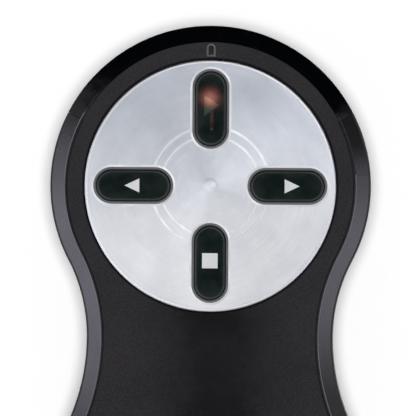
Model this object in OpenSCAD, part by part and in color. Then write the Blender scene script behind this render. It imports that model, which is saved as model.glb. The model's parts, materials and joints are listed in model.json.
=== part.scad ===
// Wireless presentation clicker: a hand-held remote with four keys in a round metal disc, a laser
// in its nose, two AAA cells in its handle and a USB receiver that stores in its tail.
// Millimetres. The origin is the middle of the footprint at the lowest point, +Z points up to
// the keys, +Y to the nose and +X to the right of someone who holds it.

/* [Outline] */
// Width of the round head
head_w = 42; // [41:0.5:46]
// Width of the waist between head and handle
waist_w = 32.2; // [31:0.2:34]
// Width of the handle at its widest
handle_w = 41.2; // [40:0.2:43]
// Distance from the head's centre back to the waist
waist_drop = 19.9; // [19:0.1:21]
// Distance from the waist back to the handle's widest place
bulge_drop = 23.4; // [22:0.2:25]
// Radius of the waist curve on the handle's side
waist_flare_r = 27; // [25:0.5:30]
// Radius of the long flank behind the widest place
flank_r = 110; // [90:5:140]
// Radius of the two tail corners
corner_r = 10; // [9.5:0.5:12]
// Radius of the tail's end
tail_r = 45; // [40:1:60]

/* [Shell] */
// Height of the line where the two housings meet
split_z = 11; // [10:0.5:12]
// Height of the top face
top_z = 26; // [25.5:0.5:28]
// Height of the bevel round the top face
bevel_drop = 1.1; // [0.8:0.1:2.4]
// Width of the bevel seen from above
bevel_in = 1.6; // [1.2:0.1:1.7]
// Draft of the side wall from the split line to the bevel
draft_in = 0.25; // [0.1:0.05:0.4]
// Thickness of the side walls
wall = 2.1; // [1.8:0.1:2.4]
// Thickness of the roof over the circuit board
roof_t = 2; // [1.6:0.1:2.4]
// Thickness of the floor
floor_t = 1.6; // [1.4:0.1:2]
// How far the belly curves in from the side to the flat underside
belly_in = 9; // [8:0.25:9.25]
// How far the underside rises towards the nose
nose_rise = 5.5; // [3:0.5:6]
// Length of the rising underside, back from the nose
rise_len = 39; // [34:1:42]

/* [Front window] */
// Thickness of the gloss window
window_t = 1.9; // [1.85:0.05:2.1]
// Angle between the window's ends and the sideways axis
window_angle = 27; // [20:1:40]
// Wall of the upper housing behind the window
nose_wall = 1.25; // [1:0.05:1.4]

/* [Face disc] */
// Distance from the metal disc's edge to the side of the head
disc_rim = 4.5; // [4.3:0.1:4.8]
// Thickness of the metal disc
disc_t = 0.9; // [0.7:0.1:1.1]
// Gap between the disc and the edge of its recess
disc_gap = 0.2; // [0.1:0.05:0.3]
// Depth of the recess under the top face
disc_sink = 0.8; // [0.6:0.1:1]
// Thickness of the adhesive under the disc
glue_t = 0.1; // [0.05:0.05:0.2]
// Outer radius of the shallow ring turned into the disc
ring_r = 7.76; // [7:0.02:8.5]
// Width of that ring
ring_w = 1.26; // [0.8:0.02:1.6]
// Radius of the dimple at the disc's centre
dimple_r = 1; // [0.6:0.1:1.4]

/* [Keys] */
// Distance from the disc's edge to each key's outer end
key_edge = 1.6; // [1.4:0.1:1.9]
// Length of a key's top
key_l = 9.6; // [9:0.1:9.8]
// Width of a key's top
key_w = 3.95; // [3.6:0.05:4.2]
// Running clearance round a key
key_gap = 0.17; // [0.1:0.01:0.25]
// Thickness of the collar round a key
collar_t = 0.26; // [0.2:0.02:0.32]
// Gap between a collar and the slot in the disc
slot_gap = 0.06; // [0.04:0.02:0.1]
// How far a collar's top lies under the disc's top
collar_sink = 0.3; // [0.1:0.05:0.5]
// Height of a key's top over the disc
key_proud = 0.4; // [0.2:0.1:1]
// Bevel round a key's top edge
key_bevel = 0.35; // [0.2:0.05:0.5]
// How far a key's flange reaches past its top
flange_out = 0.9; // [0.6:0.1:1]
// Thickness of a key's flange
flange_t = 1; // [0.8:0.1:1.2]
// How far a key travels
key_travel = 0.5; // [0.3:0.05:0.6]
// Depth of the symbols inlaid in the keys
legend_t = 0.3; // [0.2:0.05:0.4]
// Size of the symbols
legend_w = 2; // [1.6:0.1:2.2]

/* [Circuit board] */
// Thickness of the main board
board_t = 1; // [0.8:0.1:1.6]
// Gap between the board's edge and the nose wall
board_gap = 0.8; // [0.5:0.1:1]
// Width of the board's tail over the battery bay
board_tail_w = 18; // [16.5:0.5:20]
// Width of the square key switches
switch_w = 6; // [5:0.1:6.2]
// Height of the key switches without their plunger
switch_h = 1.8; // [1.6:0.1:2]
// Radius of a switch's plunger
plunger_r = 1.72; // [1.4:0.02:2]
// Width of the radio chip
chip_w = 5; // [4:0.5:6]
// Width of the status light
pipe_w = 1.2; // [1:0.1:1.4]
// Length of the status light
pipe_l = 1.7; // [1.5:0.1:1.9]

/* [Laser] */
// Height of the laser's axis
laser_z = 15.5; // [15.3:0.1:15.7]
// Radius of the laser's brass barrel
barrel_r = 3; // [2.8:0.05:3.2]
// Length of the barrel
barrel_l = 16.6; // [15:0.2:18]
// Radius of the barrel's lens
lens_r = 2.35; // [2:0.05:2.5]
// Radius of the clear aperture in the window
aperture_r = 1.95; // [1.7:0.05:2.2]

/* [Batteries] */
// Diameter of a cell
cell_d = 10.5; // [10.2:0.1:10.5]
// Length of a cell with its button
cell_len = 44.5; // [43.5:0.1:44.5]
// Distance between the two cells' axes
cell_pitch = 11.2; // [11:0.1:11.6]
// Play between the cells and their bay
bay_gap = 0.25; // [0.2:0.05:0.4]
// Room under the cells for the door's ribs
door_pad = 0.75; // [0.6:0.05:0.8]
// Length of a squeezed contact spring
spring_len = 4.9; // [4:0.1:5.2]
// Thickness of the contact plates
plate_t = 0.3; // [0.2:0.05:0.4]
// Radius of the spring wire
wire_r = 0.3; // [0.2:0.05:0.35]
// Radius of the spring's wide end
coil_wide_r = 3.4; // [3:0.1:3.8]
// Radius of the spring's narrow end
coil_narrow_r = 2.4; // [1.8:0.1:2.8]
// Wall of the bay's sides and ends
tray_wall = 1.2; // [1:0.1:1.3]
// Thickness of the bay's ceiling
tray_roof = 1; // [0.8:0.1:1]
// Distance from the waist back to the bay's front wall
bay_setback = 6.1; // [5.6:0.1:6.6]
// Distance from the bay's back wall to the tail
tail_room = 9; // [8.6:0.1:12]

/* [Battery door] */
// Height of the door's upper edge
door_top = 4.4; // [4.2:0.1:4.6]
// Running gap round the door
door_gap = 0.1; // [0.08:0.01:0.14]
// How far the door reaches past the bay's side
door_lap = 0.3; // [0.2:0.05:0.4]
// Width of the door's upright rims
rim_w = 1.2; // [1:0.05:1.3]
// How far the door's tongues reach out
tongue_out = 1; // [0.8:0.1:1.1]
// Thickness of the tongues
tongue_t = 1.2; // [1:0.1:1.3]
// Number of grip grooves in the door
grip_count = 5; // [3:1:7]

/* [Power switch] */
// Length of the power knob
knob_l = 8; // [7.4:0.1:8.4]
// Height of the power knob
knob_h = 4.4; // [4:0.1:4.6]
// How far the power knob slides
knob_travel = 2; // [1.5:0.1:2.2]
// Running gap round the knob
knob_gap = 0.3; // [0.2:0.05:0.4]
// Depth of the knob's pocket in the side wall
pocket_in = 1.1; // [1:0.05:1.2]

/* [Receiver] */
// Width of the receiver
recv_w = 18.2; // [17.4:0.1:18.4]
// Height of the receiver
recv_h = 7.3; // [7:0.1:7.4]
// Distance from the battery bay's front wall back to the tip of the plug
recv_setback = 8.95; // [8.5:0.05:12]
// Running gap round the receiver
recv_gap = 0.1; // [0.08:0.01:0.12]
// Wall of the receiver's two covers
recv_wall = 1; // [0.8:0.1:1.1]
// Wall of the bay that holds the receiver
recv_bay_wall = 1; // [0.8:0.1:1.1]
// Width of the USB plug
usb_w = 12; // [12:0.1:12.2]
// Height of the USB plug
usb_h = 4.5; // [4.4:0.1:4.6]
// How far the plug reaches out of the receiver
usb_out = 12; // [11.5:0.1:12.5]
// Thickness of the plug's sheet
usb_sheet = 0.3; // [0.25:0.05:0.35]

/* [Screws] */
// Radius of a screw's shank
screw_r = 0.9; // [0.8:0.05:1]
// Radius of a screw's head
screw_head_r = 1.9; // [1.7:0.05:2]
// Height of a screw's head
screw_head_h = 1.5; // [1.3:0.1:1.8]
// Height where the screw heads seat
screw_seat_z = 6.5; // [6:0.25:7.5]
// Radius of the posts in the lower housing
post_r = 3.2; // [3:0.05:3.3]

/* [Hidden] */
$fn = 64;

// Colours of the materials
charcoal = [0.17, 0.165, 0.18];
gloss_black = [0.03, 0.03, 0.035];
brushed = [0.74, 0.75, 0.79];
key_green = [0.07, 0.1, 0.095];
legend_white = [0.86, 0.87, 0.88];
legend_red = [0.72, 0.2, 0.18];
board_green = [0.1, 0.32, 0.18];
chip_black = [0.08, 0.08, 0.085];
steel = [0.7, 0.7, 0.72];
brass = [0.78, 0.62, 0.28];
clear = [0.82, 0.88, 0.92];
cell_grey = [0.25, 0.33, 0.45];
white_plastic = [0.85, 0.85, 0.83];

// Small fits that are the same everywhere
fit = 0.05;    // between parts that seat in each other
air = 0.1;     // between parts that only pass each other
over = 1;      // how far a short cut reaches past what it cuts
past = 5;      // how far a long cut does

// Small details
boss_skin = 0.8;      // over a screw's tip
boss_in = 0.5;        // how much slimmer a boss is than the post under it
tip_gap = 0.3;
head_gap = 0.2;       // round a screw's head, and round its shank in the circuit board
window_lap = 3;       // degrees that the wall behind the window reaches past its ends
window_play = 0.15;   // degrees between the window's ends and the housing
beam_gap = 0.4;       // round the beam's way through that wall
cross_l = 2.4;        // cross in a screw's head
cross_w = 0.5;
cross_depth = 0.8;
notch_r = 7;          // thumb notch over the receiver
notch_back = 4.5;     // from the tail back to the notch's centre
saddle_t = 2;         // saddles of the laser barrel
saddle_in = 3;        // from the barrel's ends to its saddles
saddle_wall = 0.8;
diode_r = 0.85 * lens_r;
diode_l = 1.5 * lens_r;   // its can, and its pins
diode_flange = 1.2;
diode_pin_r = 0.22;
diode_pitch = 1.3;
lens_in = 2.4;        // depth of the barrel lens's seat
lens_lip = 0.75;
foot_t = 1.2;         // feet of the laser's driver board
foot_half = 2.4;
foot_in = 1;
lead_x = 2.4;
lead_in = 1.6;
lead_r = 0.3;
rail_w = 2;           // housing outside the door's tongues
rail_h = 1.3;         // from the door's upper edge up through the housing over it
lens_seat = 1.6;      // from the nose back to the aperture lens
lens_t = 1.1;
disc_chamfer = 0.25;
slot_chamfer = 0.2;   // round the key slots, seen from above
slot_chamfer_h = 0.15;
glue_in = 0.3;        // how far the adhesive keeps from the disc's edge
ring_depth = 0.1;
dimple_depth = 0.2;
rib_t = 1;            // ribs under the cells
grip_half = 6;        // grip grooves in the door
grip_w = 0.9;
grip_pitch = 1.8;
grip_inset = 4;
grip_depth = 0.5;

// Outline: arcs that run into each other, on the right half from nose to tail
head_r = head_w / 2;
waist_half = waist_w / 2;
handle_half = handle_w / 2;
bay_len = cell_len + spring_len + 2 * plate_t;
body_len = head_r + waist_drop + bay_setback + bay_len + tail_room;
head_y = body_len / 2 - head_r;
tail_y = -body_len / 2;
waist_y = head_y - waist_drop;
bulge_y = waist_y - bulge_drop;
neck_r = (waist_half ^ 2 + waist_drop ^ 2 - head_r ^ 2) / (2 * (head_r - waist_half));
neck_angle = atan2(waist_drop, waist_half + neck_r);
flare_reach = waist_half + waist_flare_r - handle_half;
bulge_r = (flare_reach ^ 2 + bulge_drop ^ 2 - waist_flare_r ^ 2) / (2 * (waist_flare_r - flare_reach));
flare_angle = atan2(bulge_drop, flare_reach + bulge_r);
flank_c = [handle_half - flank_r, bulge_y];
tail_c = [0, tail_y + tail_r];
// The corner's centre is flank_r - corner_r from one centre and tail_r - corner_r from the other
centre_gap = norm(tail_c - flank_c);
gap_dir = (tail_c - flank_c) / centre_gap;
along = ((flank_r - corner_r) ^ 2 - (tail_r - corner_r) ^ 2 + centre_gap ^ 2) / (2 * centre_gap);
aside = sqrt((flank_r - corner_r) ^ 2 - along ^ 2);
corner_c = flank_c + along * gap_dir + aside * [gap_dir[1], -gap_dir[0]];
flank_angle = atan2(flank_c[1] - corner_c[1], corner_c[0] - flank_c[0]);
end_angle = atan2(tail_c[1] - corner_c[1], corner_c[0] - tail_c[0]);

function arc(c, r, a0, a1, n) =
  [for (i = [0:n - 1]) let(a = a0 + (a1 - a0) * i / n) [c[0] + r * cos(a), c[1] + r * sin(a)]];

// Right half of the outline, moved in by d
function half_outline(d) = concat(
  arc([0, head_y], head_r - d, 90, -neck_angle, 16),
  arc([waist_half + neck_r, waist_y], neck_r + d, 180 - neck_angle, 180, 4),
  arc([waist_half + waist_flare_r, waist_y], waist_flare_r + d, 180, 180 + flare_angle, 4),
  arc([handle_half - bulge_r, bulge_y], bulge_r - d, flare_angle, 0, 4),
  arc(flank_c, flank_r - d, 0, -flank_angle, 4),
  arc(corner_c, corner_r - d, -flank_angle, -end_angle, 6),
  arc(tail_c, tail_r - d, -end_angle, -90, 2),
  [[0, tail_y + d]]);

function outline(d) =
  let(right = half_outline(d), last = len(right) - 1)
  concat(right, [for (i = [last - 1:-1:1]) [-right[i][0], right[i][1]]]);

// Heights of the stack under the top face
roof_z = top_z - roof_t;
deck_z = top_z - disc_sink;
disc_z = deck_z + glue_t;
disc_top = disc_z + disc_t;
key_top = disc_top + key_proud;
flange_top = roof_z - fit;
flange_z = flange_top - flange_t;
stop_gap = 0.35;
board_top = flange_z - key_travel - stop_gap - switch_h;
board_z = board_top - board_t;
dome_h = 0.2;
plunger_z = board_top + dome_h + key_travel + air;

// Slots round the keys, from the key outwards
hole_grow = 2 * key_gap;
collar_grow = hole_grow + 2 * collar_t;
slot_grow = collar_grow + 2 * slot_gap;
KEY_ANGLES = [90, 180, 0, 270];

// Head
disc_r = head_r - disc_rim;
key_c = disc_r - key_edge - key_l / 2;
nose_r = head_r - window_t - fit - nose_wall;
board_r = nose_r - board_gap;
screw_c = nose_r - post_r - air;
lug_l = 1.2;          // legs of a key switch
lug_w = 0.8;
lug_t = 0.3;
lug_out = 0.4;
lug_y = 2.2;
dome_r = 1.3;
dome_top_r = 0.6;
dome_rim = 0.2;
dome_t = 0.06;
crystal_gap = 1.3;
passive_pitch = 2.3;
passive_room = 4;
pipe_gap = 0.25;
pipe_y = head_y + disc_r + disc_gap + pipe_gap;
led_w = 1.6;
led_l = 0.8;
pipe_foot_z = board_top + led_l;

// Battery bay
cell_r = cell_d / 2;
cell_x = cell_pitch / 2;
bay_half = cell_x + cell_r + bay_gap;
cell_z = floor_t + door_pad + cell_r;
bay_top = cell_z + cell_r + bay_gap;
bay_front = waist_y - bay_setback;
bay_back = bay_front - bay_len;
tray_top = bay_top + tray_roof;
door_half = bay_half + door_lap;
door_front = bay_front + 2 * tray_wall;
tongue_z = door_top - tongue_t;
board_tail_y = bay_front - 2;
tab_w = 2.2;
tab_out = 0.4;
plate_w = 8;
bay_clear = 0.3;
plate_z = door_top + door_gap + bay_clear;
rib_top = floor_t + door_pad - air;

// Receiver bay, over the battery bay
recv_z = tray_top + bay_clear + recv_bay_wall + recv_gap;
recv_half = recv_w / 2;
recv_back = tail_y + draft_in;
recv_front = bay_front - recv_setback;
recv_face = recv_front - usb_out;
recv_mid = recv_z + recv_h / 2;
bay_stop = recv_front + 2 * bay_clear;
recv_board_drop = 1.3;
recv_board_z = recv_mid - recv_board_drop;
recv_board_t = 0.8;
recv_play = 0.4;      // between its circuit board and what ends before and behind it
recv_chip_y = recv_back + 2.4 * chip_w;
recv_ledge = 1;
recv_end = 2.2;       // thickness of its free end
plug_in = 5;          // how far the plug reaches into it
plug_neck = 3;        // length of the opening round the plug
ridge_l = recv_half;
ridge_w = 0.5;
ridge_in = 0.8;
latch_w = 2.5;
latch_x = 2.9;
latch_back = 6.8;     // from the plug's tip back to its windows
tongue_in = 0.6;      // from the plug's tip back to its tongue
pin_w = usb_w / 10;   // contacts of the plug
pin_pitch = 2 * pin_w;

chip_t = 0.9;
CRYSTAL = [3.2, 2.5, 0.8];
SMALL_PART = [1.6, 0.8, 0.6];

// Laser
barrel_gap = 0.3;
barrel_y = head_y + nose_r - barrel_l - barrel_gap;
laser_board_z = laser_z - 1.2;
laser_board_t = 0.8;
laser_board_l = 9;
laser_room = 3;       // from the barrel back to its driver board
laser_board_y = barrel_y - laser_room - laser_board_l;

// Power switch in the left wall
knob_lift = 3.4;
knob_groove = 0.6;
knob_z = split_z + knob_lift;
knob_y = head_y - (knob_l + knob_travel) / 2;
pocket_x = head_r - pocket_in;
stem_h = 1.4;
stem_l = 2.4;
stem_z = knob_z + (knob_h - stem_h) / 2;
stem_y = knob_y + (knob_l - stem_l) / 2;
psw_x = board_r - air;
psw_w = 0.45 * knob_l;
psw_skin = knob_l / 10;
stem_in = 1.2;

// Belly: q turns from 90 at the flat underside to 0 at the split line, and t is the depth under
// the skin, as a share of the wall
BELLY_STEPS = [90, 72, 54, 36, 18, 0];
function lift(y) = nose_rise * (max(0, (y - body_len / 2 + rise_len) / rise_len)) ^ 2;
function belly_ring(q, t) =
  let(d = wall * t * cos(q) + belly_in * (1 - cos(q)))
  [for (p = outline(d)) [p[0], p[1], split_z - (split_z - lift(p[1]) - floor_t * t) * sin(q)]];
function flat_ring(d, z) = [for (p = outline(d)) [p[0], p[1], z]];

// A closed skin over rings of equal length, from the lowest to the highest; its two caps are
// strips across the part, each as flat as the two ends it joins
module loft(rings) {
  n = len(rings[0]);
  half = n / 2;
  top = (len(rings) - 1) * n;
  strips = [for (i = [0:half - 1])
    i == 0 ? [0, 1, n - 1] : i == half - 1 ? [half - 1, half, half + 1] : [i, i + 1, n - i - 1, n - i]];
  polyhedron(
    points = [for (ring = rings) each ring],
    faces = concat(
      [for (k = [0:len(rings) - 2], i = [0:n - 1]) let(j = (i + 1) % n)
        [k * n + i, k * n + j, k * n + n + j, k * n + n + i]],
      [for (s = strips) [for (i = s) top + i]],
      [for (s = strips) [for (i = [len(s) - 1:-1:0]) s[i]]]),
    convexity = 8);
}

module belly(t, up_to) loft(concat(
  [for (q = BELLY_STEPS) belly_ring(q, t)],
  up_to > split_z ? [flat_ring(wall * t, up_to)] : []));

module crown() loft([flat_ring(0, split_z), flat_ring(draft_in, top_z - bevel_drop),
  flat_ring(draft_in + bevel_in, top_z)]);

// A box centred on X = 0
module slab(half_w, y0, y1, z0, z1) translate([-half_w, y0, z0]) cube([2 * half_w, y1 - y0, z1 - z0]);

module at_head() translate([0, head_y, 0]) children();

module at_key(angle) at_head() rotate([0, 0, angle]) translate([key_c, 0, 0]) children();

module at_screws() at_head() for (a = [45:90:315]) rotate([0, 0, a]) translate([screw_c, 0, 0]) children();

module along_y(y) translate([0, y, laser_z]) rotate([-90, 0, 0]) children();

module stadium(grow, z0, z1) translate([0, 0, z0]) linear_extrude(z1 - z0) {
  long = key_l - key_w;
  for (side = [-1, 1]) translate([side * long / 2, 0]) circle(d = key_w + grow);
  square([long, key_w + grow], center = true);
}

// The part of the head in front of the window's two ends
module nose_sector(z0, z1, angle) at_head() translate([0, 0, z0]) linear_extrude(z1 - z0) {
  reach = head_r + past;
  polygon([[0, 0], [reach * cos(angle), reach * sin(angle)], [reach, reach], [reach, 2 * reach],
    [-reach, 2 * reach], [-reach, reach], [-reach * cos(angle), reach * sin(angle)]]);
}

module upper_housing() color(charcoal) difference() {
  crown();
  difference() {
    translate([0, 0, split_z - past]) linear_extrude(roof_z - split_z + past) polygon(outline(wall));
    // What stands inside the shell: screw bosses, the receiver's bay and the wall behind the window
    at_screws() translate([0, 0, board_top]) cylinder(r = post_r - boss_in, h = roof_z - board_top);
    slab(recv_half + recv_gap + recv_bay_wall, tail_y - past, bay_stop + recv_bay_wall,
      recv_z - recv_gap - recv_bay_wall, top_z);
    intersection() {
      nose_sector(split_z, top_z, window_angle - window_lap);
      at_head() difference() {
        cylinder(r = head_r, h = top_z);
        cylinder(r = nose_r, h = top_z);
      }
    }
  }
  // Seat of the window
  difference() {
    nose_sector(split_z - past, top_z + past, window_angle - window_play);
    at_head() cylinder(r = head_r - window_t - fit, h = top_z + past);
  }
  slab(recv_half + recv_gap, tail_y - past, bay_stop, recv_z - recv_gap, recv_z + recv_h + recv_gap);
  // Recess of the disc, with a collar left round each key
  at_head() difference() {
    translate([0, 0, deck_z]) cylinder(r = disc_r + disc_gap, h = past);
    for (a = KEY_ANGLES) rotate([0, 0, a]) translate([key_c, 0, 0])
      stadium(collar_grow, deck_z - over, disc_top - collar_sink);
  }
  for (a = KEY_ANGLES) at_key(a) stadium(hole_grow, roof_z - over, top_z + past);
  at_screws() translate([0, 0, board_z]) cylinder(r = screw_r + fit, h = roof_z - board_z - boss_skin);
  status_light(2 * fit);
  along_y(head_y) cylinder(r = aperture_r + beam_gap, h = head_r + past);
  // Pocket of the power knob and the slot for its stem
  translate([-head_r - past, knob_y - knob_gap, knob_z - knob_gap])
    cube([past + pocket_in, knob_l + knob_travel + 2 * knob_gap, knob_h + 2 * knob_gap]);
  translate([-head_r, stem_y - knob_gap, stem_z - knob_gap / 2])
    cube([wall + over, stem_l + knob_travel + 2 * knob_gap, stem_h + knob_gap]);
  // Thumb notch over the receiver
  translate([0, tail_y - notch_back, recv_z + recv_h]) cylinder(r = notch_r, h = past);
}

module lower_housing() color(charcoal) difference() {
  union() {
    difference() {
      belly(0, split_z);
      belly(1, split_z + past);
    }
    intersection() {
      belly(0.5, board_z);
      union() {
        slab(bay_half + tray_wall, bay_back - tray_wall, bay_front + tray_wall, 0, tray_top);
        // Rails over and under the door's tongues
        slab(door_half + tongue_out + rail_w, tail_y, door_front + tray_wall, 0, door_top + rail_h);
        at_screws() cylinder(r = post_r, h = board_z);
        // Saddles of the laser barrel, and feet of its driver board
        for (y = [barrel_y + saddle_in, barrel_y + barrel_l - saddle_in - saddle_t])
          slab(barrel_r + saddle_wall, y, y + saddle_t, 0, laser_z);
        for (y = [laser_board_y + foot_in, laser_board_y + laser_board_l - foot_in - foot_t])
          slab(foot_half, y, y + foot_t, 0, laser_board_z);
      }
    }
  }
  slab(bay_half, bay_back, bay_front, -past, bay_top);
  slab(door_half + door_gap, tail_y - past, door_front + door_gap, -past, door_top + door_gap);
  slab(door_half + tongue_out + door_gap, tail_y - past, door_front + door_gap,
    tongue_z - door_gap, door_top + door_gap);
  at_screws() {
    cylinder(r = screw_r + 2 * fit, h = board_z + past);
    translate([0, 0, -past]) cylinder(r = screw_head_r + head_gap, h = screw_seat_z + past);
  }
  along_y(barrel_y - over) cylinder(r = barrel_r + fit, h = barrel_l + past);
  // Ways through the ceiling for the contacts' tabs
  for (side = [-1, 1]) translate([side * cell_x - tab_w / 2 - air, bay_front - plate_t - air, bay_top - over])
    cube([tab_w + 2 * air, plate_t + 2 * air, tray_roof + 2 * over]);
}

module battery_door() color(charcoal) difference() {
  intersection() {
    belly(0, split_z);
    union() {
      // Floor and curved tail
      difference() {
        slab(door_half, tail_y - past, door_front, -past, door_top);
        belly(1, split_z + past);
      }
      // Rims along both sides, with the tongues on them
      difference() {
        union() {
          slab(door_half, tail_y - past, door_front, -past, door_top);
          slab(door_half + tongue_out, tail_y - past, door_front, tongue_z, door_top);
        }
        slab(door_half - rim_w, tail_y - 2 * past, door_front + past, -2 * past, top_z);
      }
      // Lip at the front and ribs under the cells, low enough to pass under them
      slab(door_half, door_front - tray_wall, door_front, -past, rib_top);
      for (share = [0.2, 0.5, 0.8]) slab(door_half - rim_w / 2, bay_back + share * cell_len,
        bay_back + share * cell_len + rib_t, 0, rib_top);
    }
  }
  for (i = [0:grip_count - 1]) slab(grip_half, door_front - grip_inset - grip_pitch * i,
    door_front - grip_inset - grip_pitch * i + grip_w, -over, grip_depth);
}

module front_window() color(gloss_black) difference() {
  intersection() {
    crown();
    nose_sector(split_z - 1, top_z + past, window_angle);
  }
  at_head() cylinder(r = head_r - window_t, h = top_z + past);
  along_y(head_y) cylinder(r = aperture_r - 0.5, h = head_r + past);
  along_y(head_y + head_r - lens_seat) cylinder(r = aperture_r + fit, h = past);
}

module laser_aperture_lens() color(clear)
  along_y(head_y + head_r - lens_seat) cylinder(r = aperture_r, h = lens_t);

module face_disc() color(brushed) at_head() difference() {
  translate([0, 0, disc_z]) rotate_extrude() polygon([
    [0, 0], [disc_r, 0], [disc_r, disc_t - disc_chamfer], [disc_r - disc_chamfer, disc_t],
    [ring_r, disc_t], [ring_r, disc_t - ring_depth],
    [ring_r - ring_w, disc_t - ring_depth], [ring_r - ring_w, disc_t],
    [dimple_r, disc_t], [dimple_r * 0.5, disc_t - dimple_depth], [0, disc_t - dimple_depth]]);
  for (a = KEY_ANGLES) rotate([0, 0, a]) translate([key_c, 0, 0]) {
    stadium(slot_grow, disc_z - over, disc_top + over);
    stadium(slot_grow + 2 * slot_chamfer, disc_top - slot_chamfer_h, disc_top + over);
  }
}

module disc_adhesive() color(white_plastic) at_head() difference() {
  translate([0, 0, deck_z]) cylinder(r = disc_r - glue_in, h = glue_t);
  for (a = KEY_ANGLES) rotate([0, 0, a]) translate([key_c, 0, 0])
    stadium(slot_grow + 2 * slot_chamfer, deck_z - over, top_z);
}

// An arched rod that shows beside the disc, with a foot over the lamp under it
module status_light(grow) {
  arch_y = pipe_y + pipe_l - pipe_w / 2;
  translate([0, 0, pipe_foot_z]) linear_extrude(top_z + fit + grow - pipe_foot_z) {
    translate([0, arch_y]) circle(d = pipe_w + grow);
    translate([-(pipe_w + grow) / 2, pipe_y - grow / 2]) square([pipe_w + grow, arch_y - pipe_y + grow / 2]);
  }
  slab(led_w / 2 + grow / 2, pipe_y - led_l - fit - grow, pipe_y + pipe_l + grow / 2,
    pipe_foot_z - grow, roof_z - fit + grow / 2);
}

module status_light_pipe() color(clear) status_light(0);

module status_led() color(white_plastic)
  slab(led_w / 2, pipe_y - led_l, pipe_y, board_top, pipe_foot_z - air);

// Symbols, drawn with the key's outward direction along X
module symbol(name, high) {
  unit = legend_w / 2;
  if (name == "stop") translate([-unit, -unit, 0]) cube([legend_w, legend_w, high]);
  else if (name == "laser") rotate([0, 0, -90]) {
    // A spot, a pointer and the beam that runs up to it
    linear_extrude(high) polygon([[-0.84, 1.78] * unit, [1.09, 0.49] * unit, [-0.84, -0.98] * unit]);
    translate([0.07, 1.48, 0] * unit) cylinder(r = 0.6 * unit, h = high);
    translate([-0.13, -2.84, 0] * unit) cube([0.5 * unit, 3 * unit, high]);
  }
  else linear_extrude(high) polygon([[1.04, 0] * unit, [-0.96, -0.92] * unit, [-0.96, 0.92] * unit]);
}

module legend(name, angle, shade) color(shade) at_key(angle)
  translate([0, 0, key_top - legend_t]) symbol(name, legend_t);

module key_cap(name, angle) color(key_green) at_key(angle) difference() {
  union() {
    stadium(2 * flange_out, flange_z, flange_top);
    hull($fn = 32) {
      stadium(0, flange_top - flange_t / 2, key_top - key_bevel);
      stadium(-2 * key_bevel, key_top - fit, key_top);
    }
  }
  translate([0, 0, key_top - legend_t]) symbol(name, legend_t + over);
}

module key_switch(angle) color(chip_black) at_key(angle) difference() {
  union() {
    translate([-switch_w / 2, -switch_w / 2, board_top]) cube([switch_w, switch_w, switch_h]);
    for (side = [-1, 1])
      translate([side * (switch_w / 2 + lug_out) - lug_l / 2, -lug_w / 2 - lug_y, board_top])
        cube([lug_l, lug_w, lug_t]);
  }
  translate([0, 0, board_top - over]) cylinder(r = plunger_r + fit, h = switch_h + 2 * over);
}

module key_plunger(angle) color(white_plastic) at_key(angle)
  translate([0, 0, plunger_z]) cylinder(r = plunger_r, h = flange_z - plunger_z);

module snap_domes() color(steel) for (a = KEY_ANGLES) at_key(a) translate([0, 0, board_top])
  rotate_extrude() polygon([[0, dome_h - dome_t], [dome_top_r, dome_h - dome_t], [dome_r - dome_rim, 0],
    [dome_r, 0], [dome_r, dome_t], [dome_r - dome_rim + fit / 2, dome_t], [dome_top_r + fit / 2, dome_h],
    [0, dome_h]]);

module main_board() color(board_green) difference() {
  union() {
    at_head() translate([0, 0, board_z]) cylinder(r = board_r, h = board_t);
    slab(board_tail_w / 2, board_tail_y, head_y, board_z, board_top);
  }
  at_screws() translate([0, 0, board_z - over]) cylinder(r = screw_r + head_gap, h = board_t + 2 * over);
  for (side = [-1, 1]) translate([side * cell_x - tab_w / 2 - air, bay_front - plate_t - air, board_z - over])
    cube([tab_w + 2 * air, plate_t + 2 * air, board_t + 2 * over]);
}

module radio_chip() color(chip_black) at_head()
  slab(chip_w / 2, -chip_w / 2, chip_w / 2, board_top, board_top + chip_t);

module crystal() color(steel) at_head()
  translate([chip_w / 2 + crystal_gap, chip_w / 2 + crystal_gap, board_top]) cube(CRYSTAL);

// Resistors in a row over the board's tail and two capacitors beside the chip
module board_passives() color(chip_black) {
  for (i = [-3:3])
    translate([i * passive_pitch - SMALL_PART[0] / 2, bay_front + passive_room, board_top]) cube(SMALL_PART);
  at_head() for (side = [-1, 1])
    translate([side * chip_w - SMALL_PART[0] / 2, -chip_w / 2 - passive_room, board_top]) cube(SMALL_PART);
}

module laser_barrel() color(brass) difference() {
  along_y(barrel_y) cylinder(r = barrel_r, h = barrel_l);
  along_y(barrel_y - over) cylinder(r = diode_r + fit, h = 2 * diode_l + over);
  along_y(barrel_y - over) cylinder(r = lens_r - lens_lip, h = barrel_l + 2 * over);
  along_y(barrel_y + barrel_l - lens_in) cylinder(r = lens_r + fit, h = past);
}

module laser_lens() color(clear)
  along_y(barrel_y + barrel_l - lens_in) cylinder(r = lens_r, h = 0.6 * lens_in);

module laser_diode() color(steel) {
  along_y(barrel_y - diode_flange) cylinder(r = barrel_r - 0.2, h = diode_flange);
  along_y(barrel_y - air) cylinder(r = diode_r, h = diode_l);
  for (side = [-1:1]) translate([side * diode_pitch, 0, 0])
    along_y(barrel_y - diode_flange - diode_l + air) cylinder(r = diode_pin_r, h = diode_l);
}

module laser_board() color(board_green)
  slab(barrel_r + 0.2, laser_board_y, laser_board_y + laser_board_l,
    laser_board_z, laser_board_z + laser_board_t);

module laser_leads() color(steel) for (side = [-1, 1])
  translate([side * lead_x, laser_board_y + lead_in, laser_board_z + laser_board_t])
    cylinder(r = lead_r, h = board_z - laser_board_z - laser_board_t);

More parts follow.
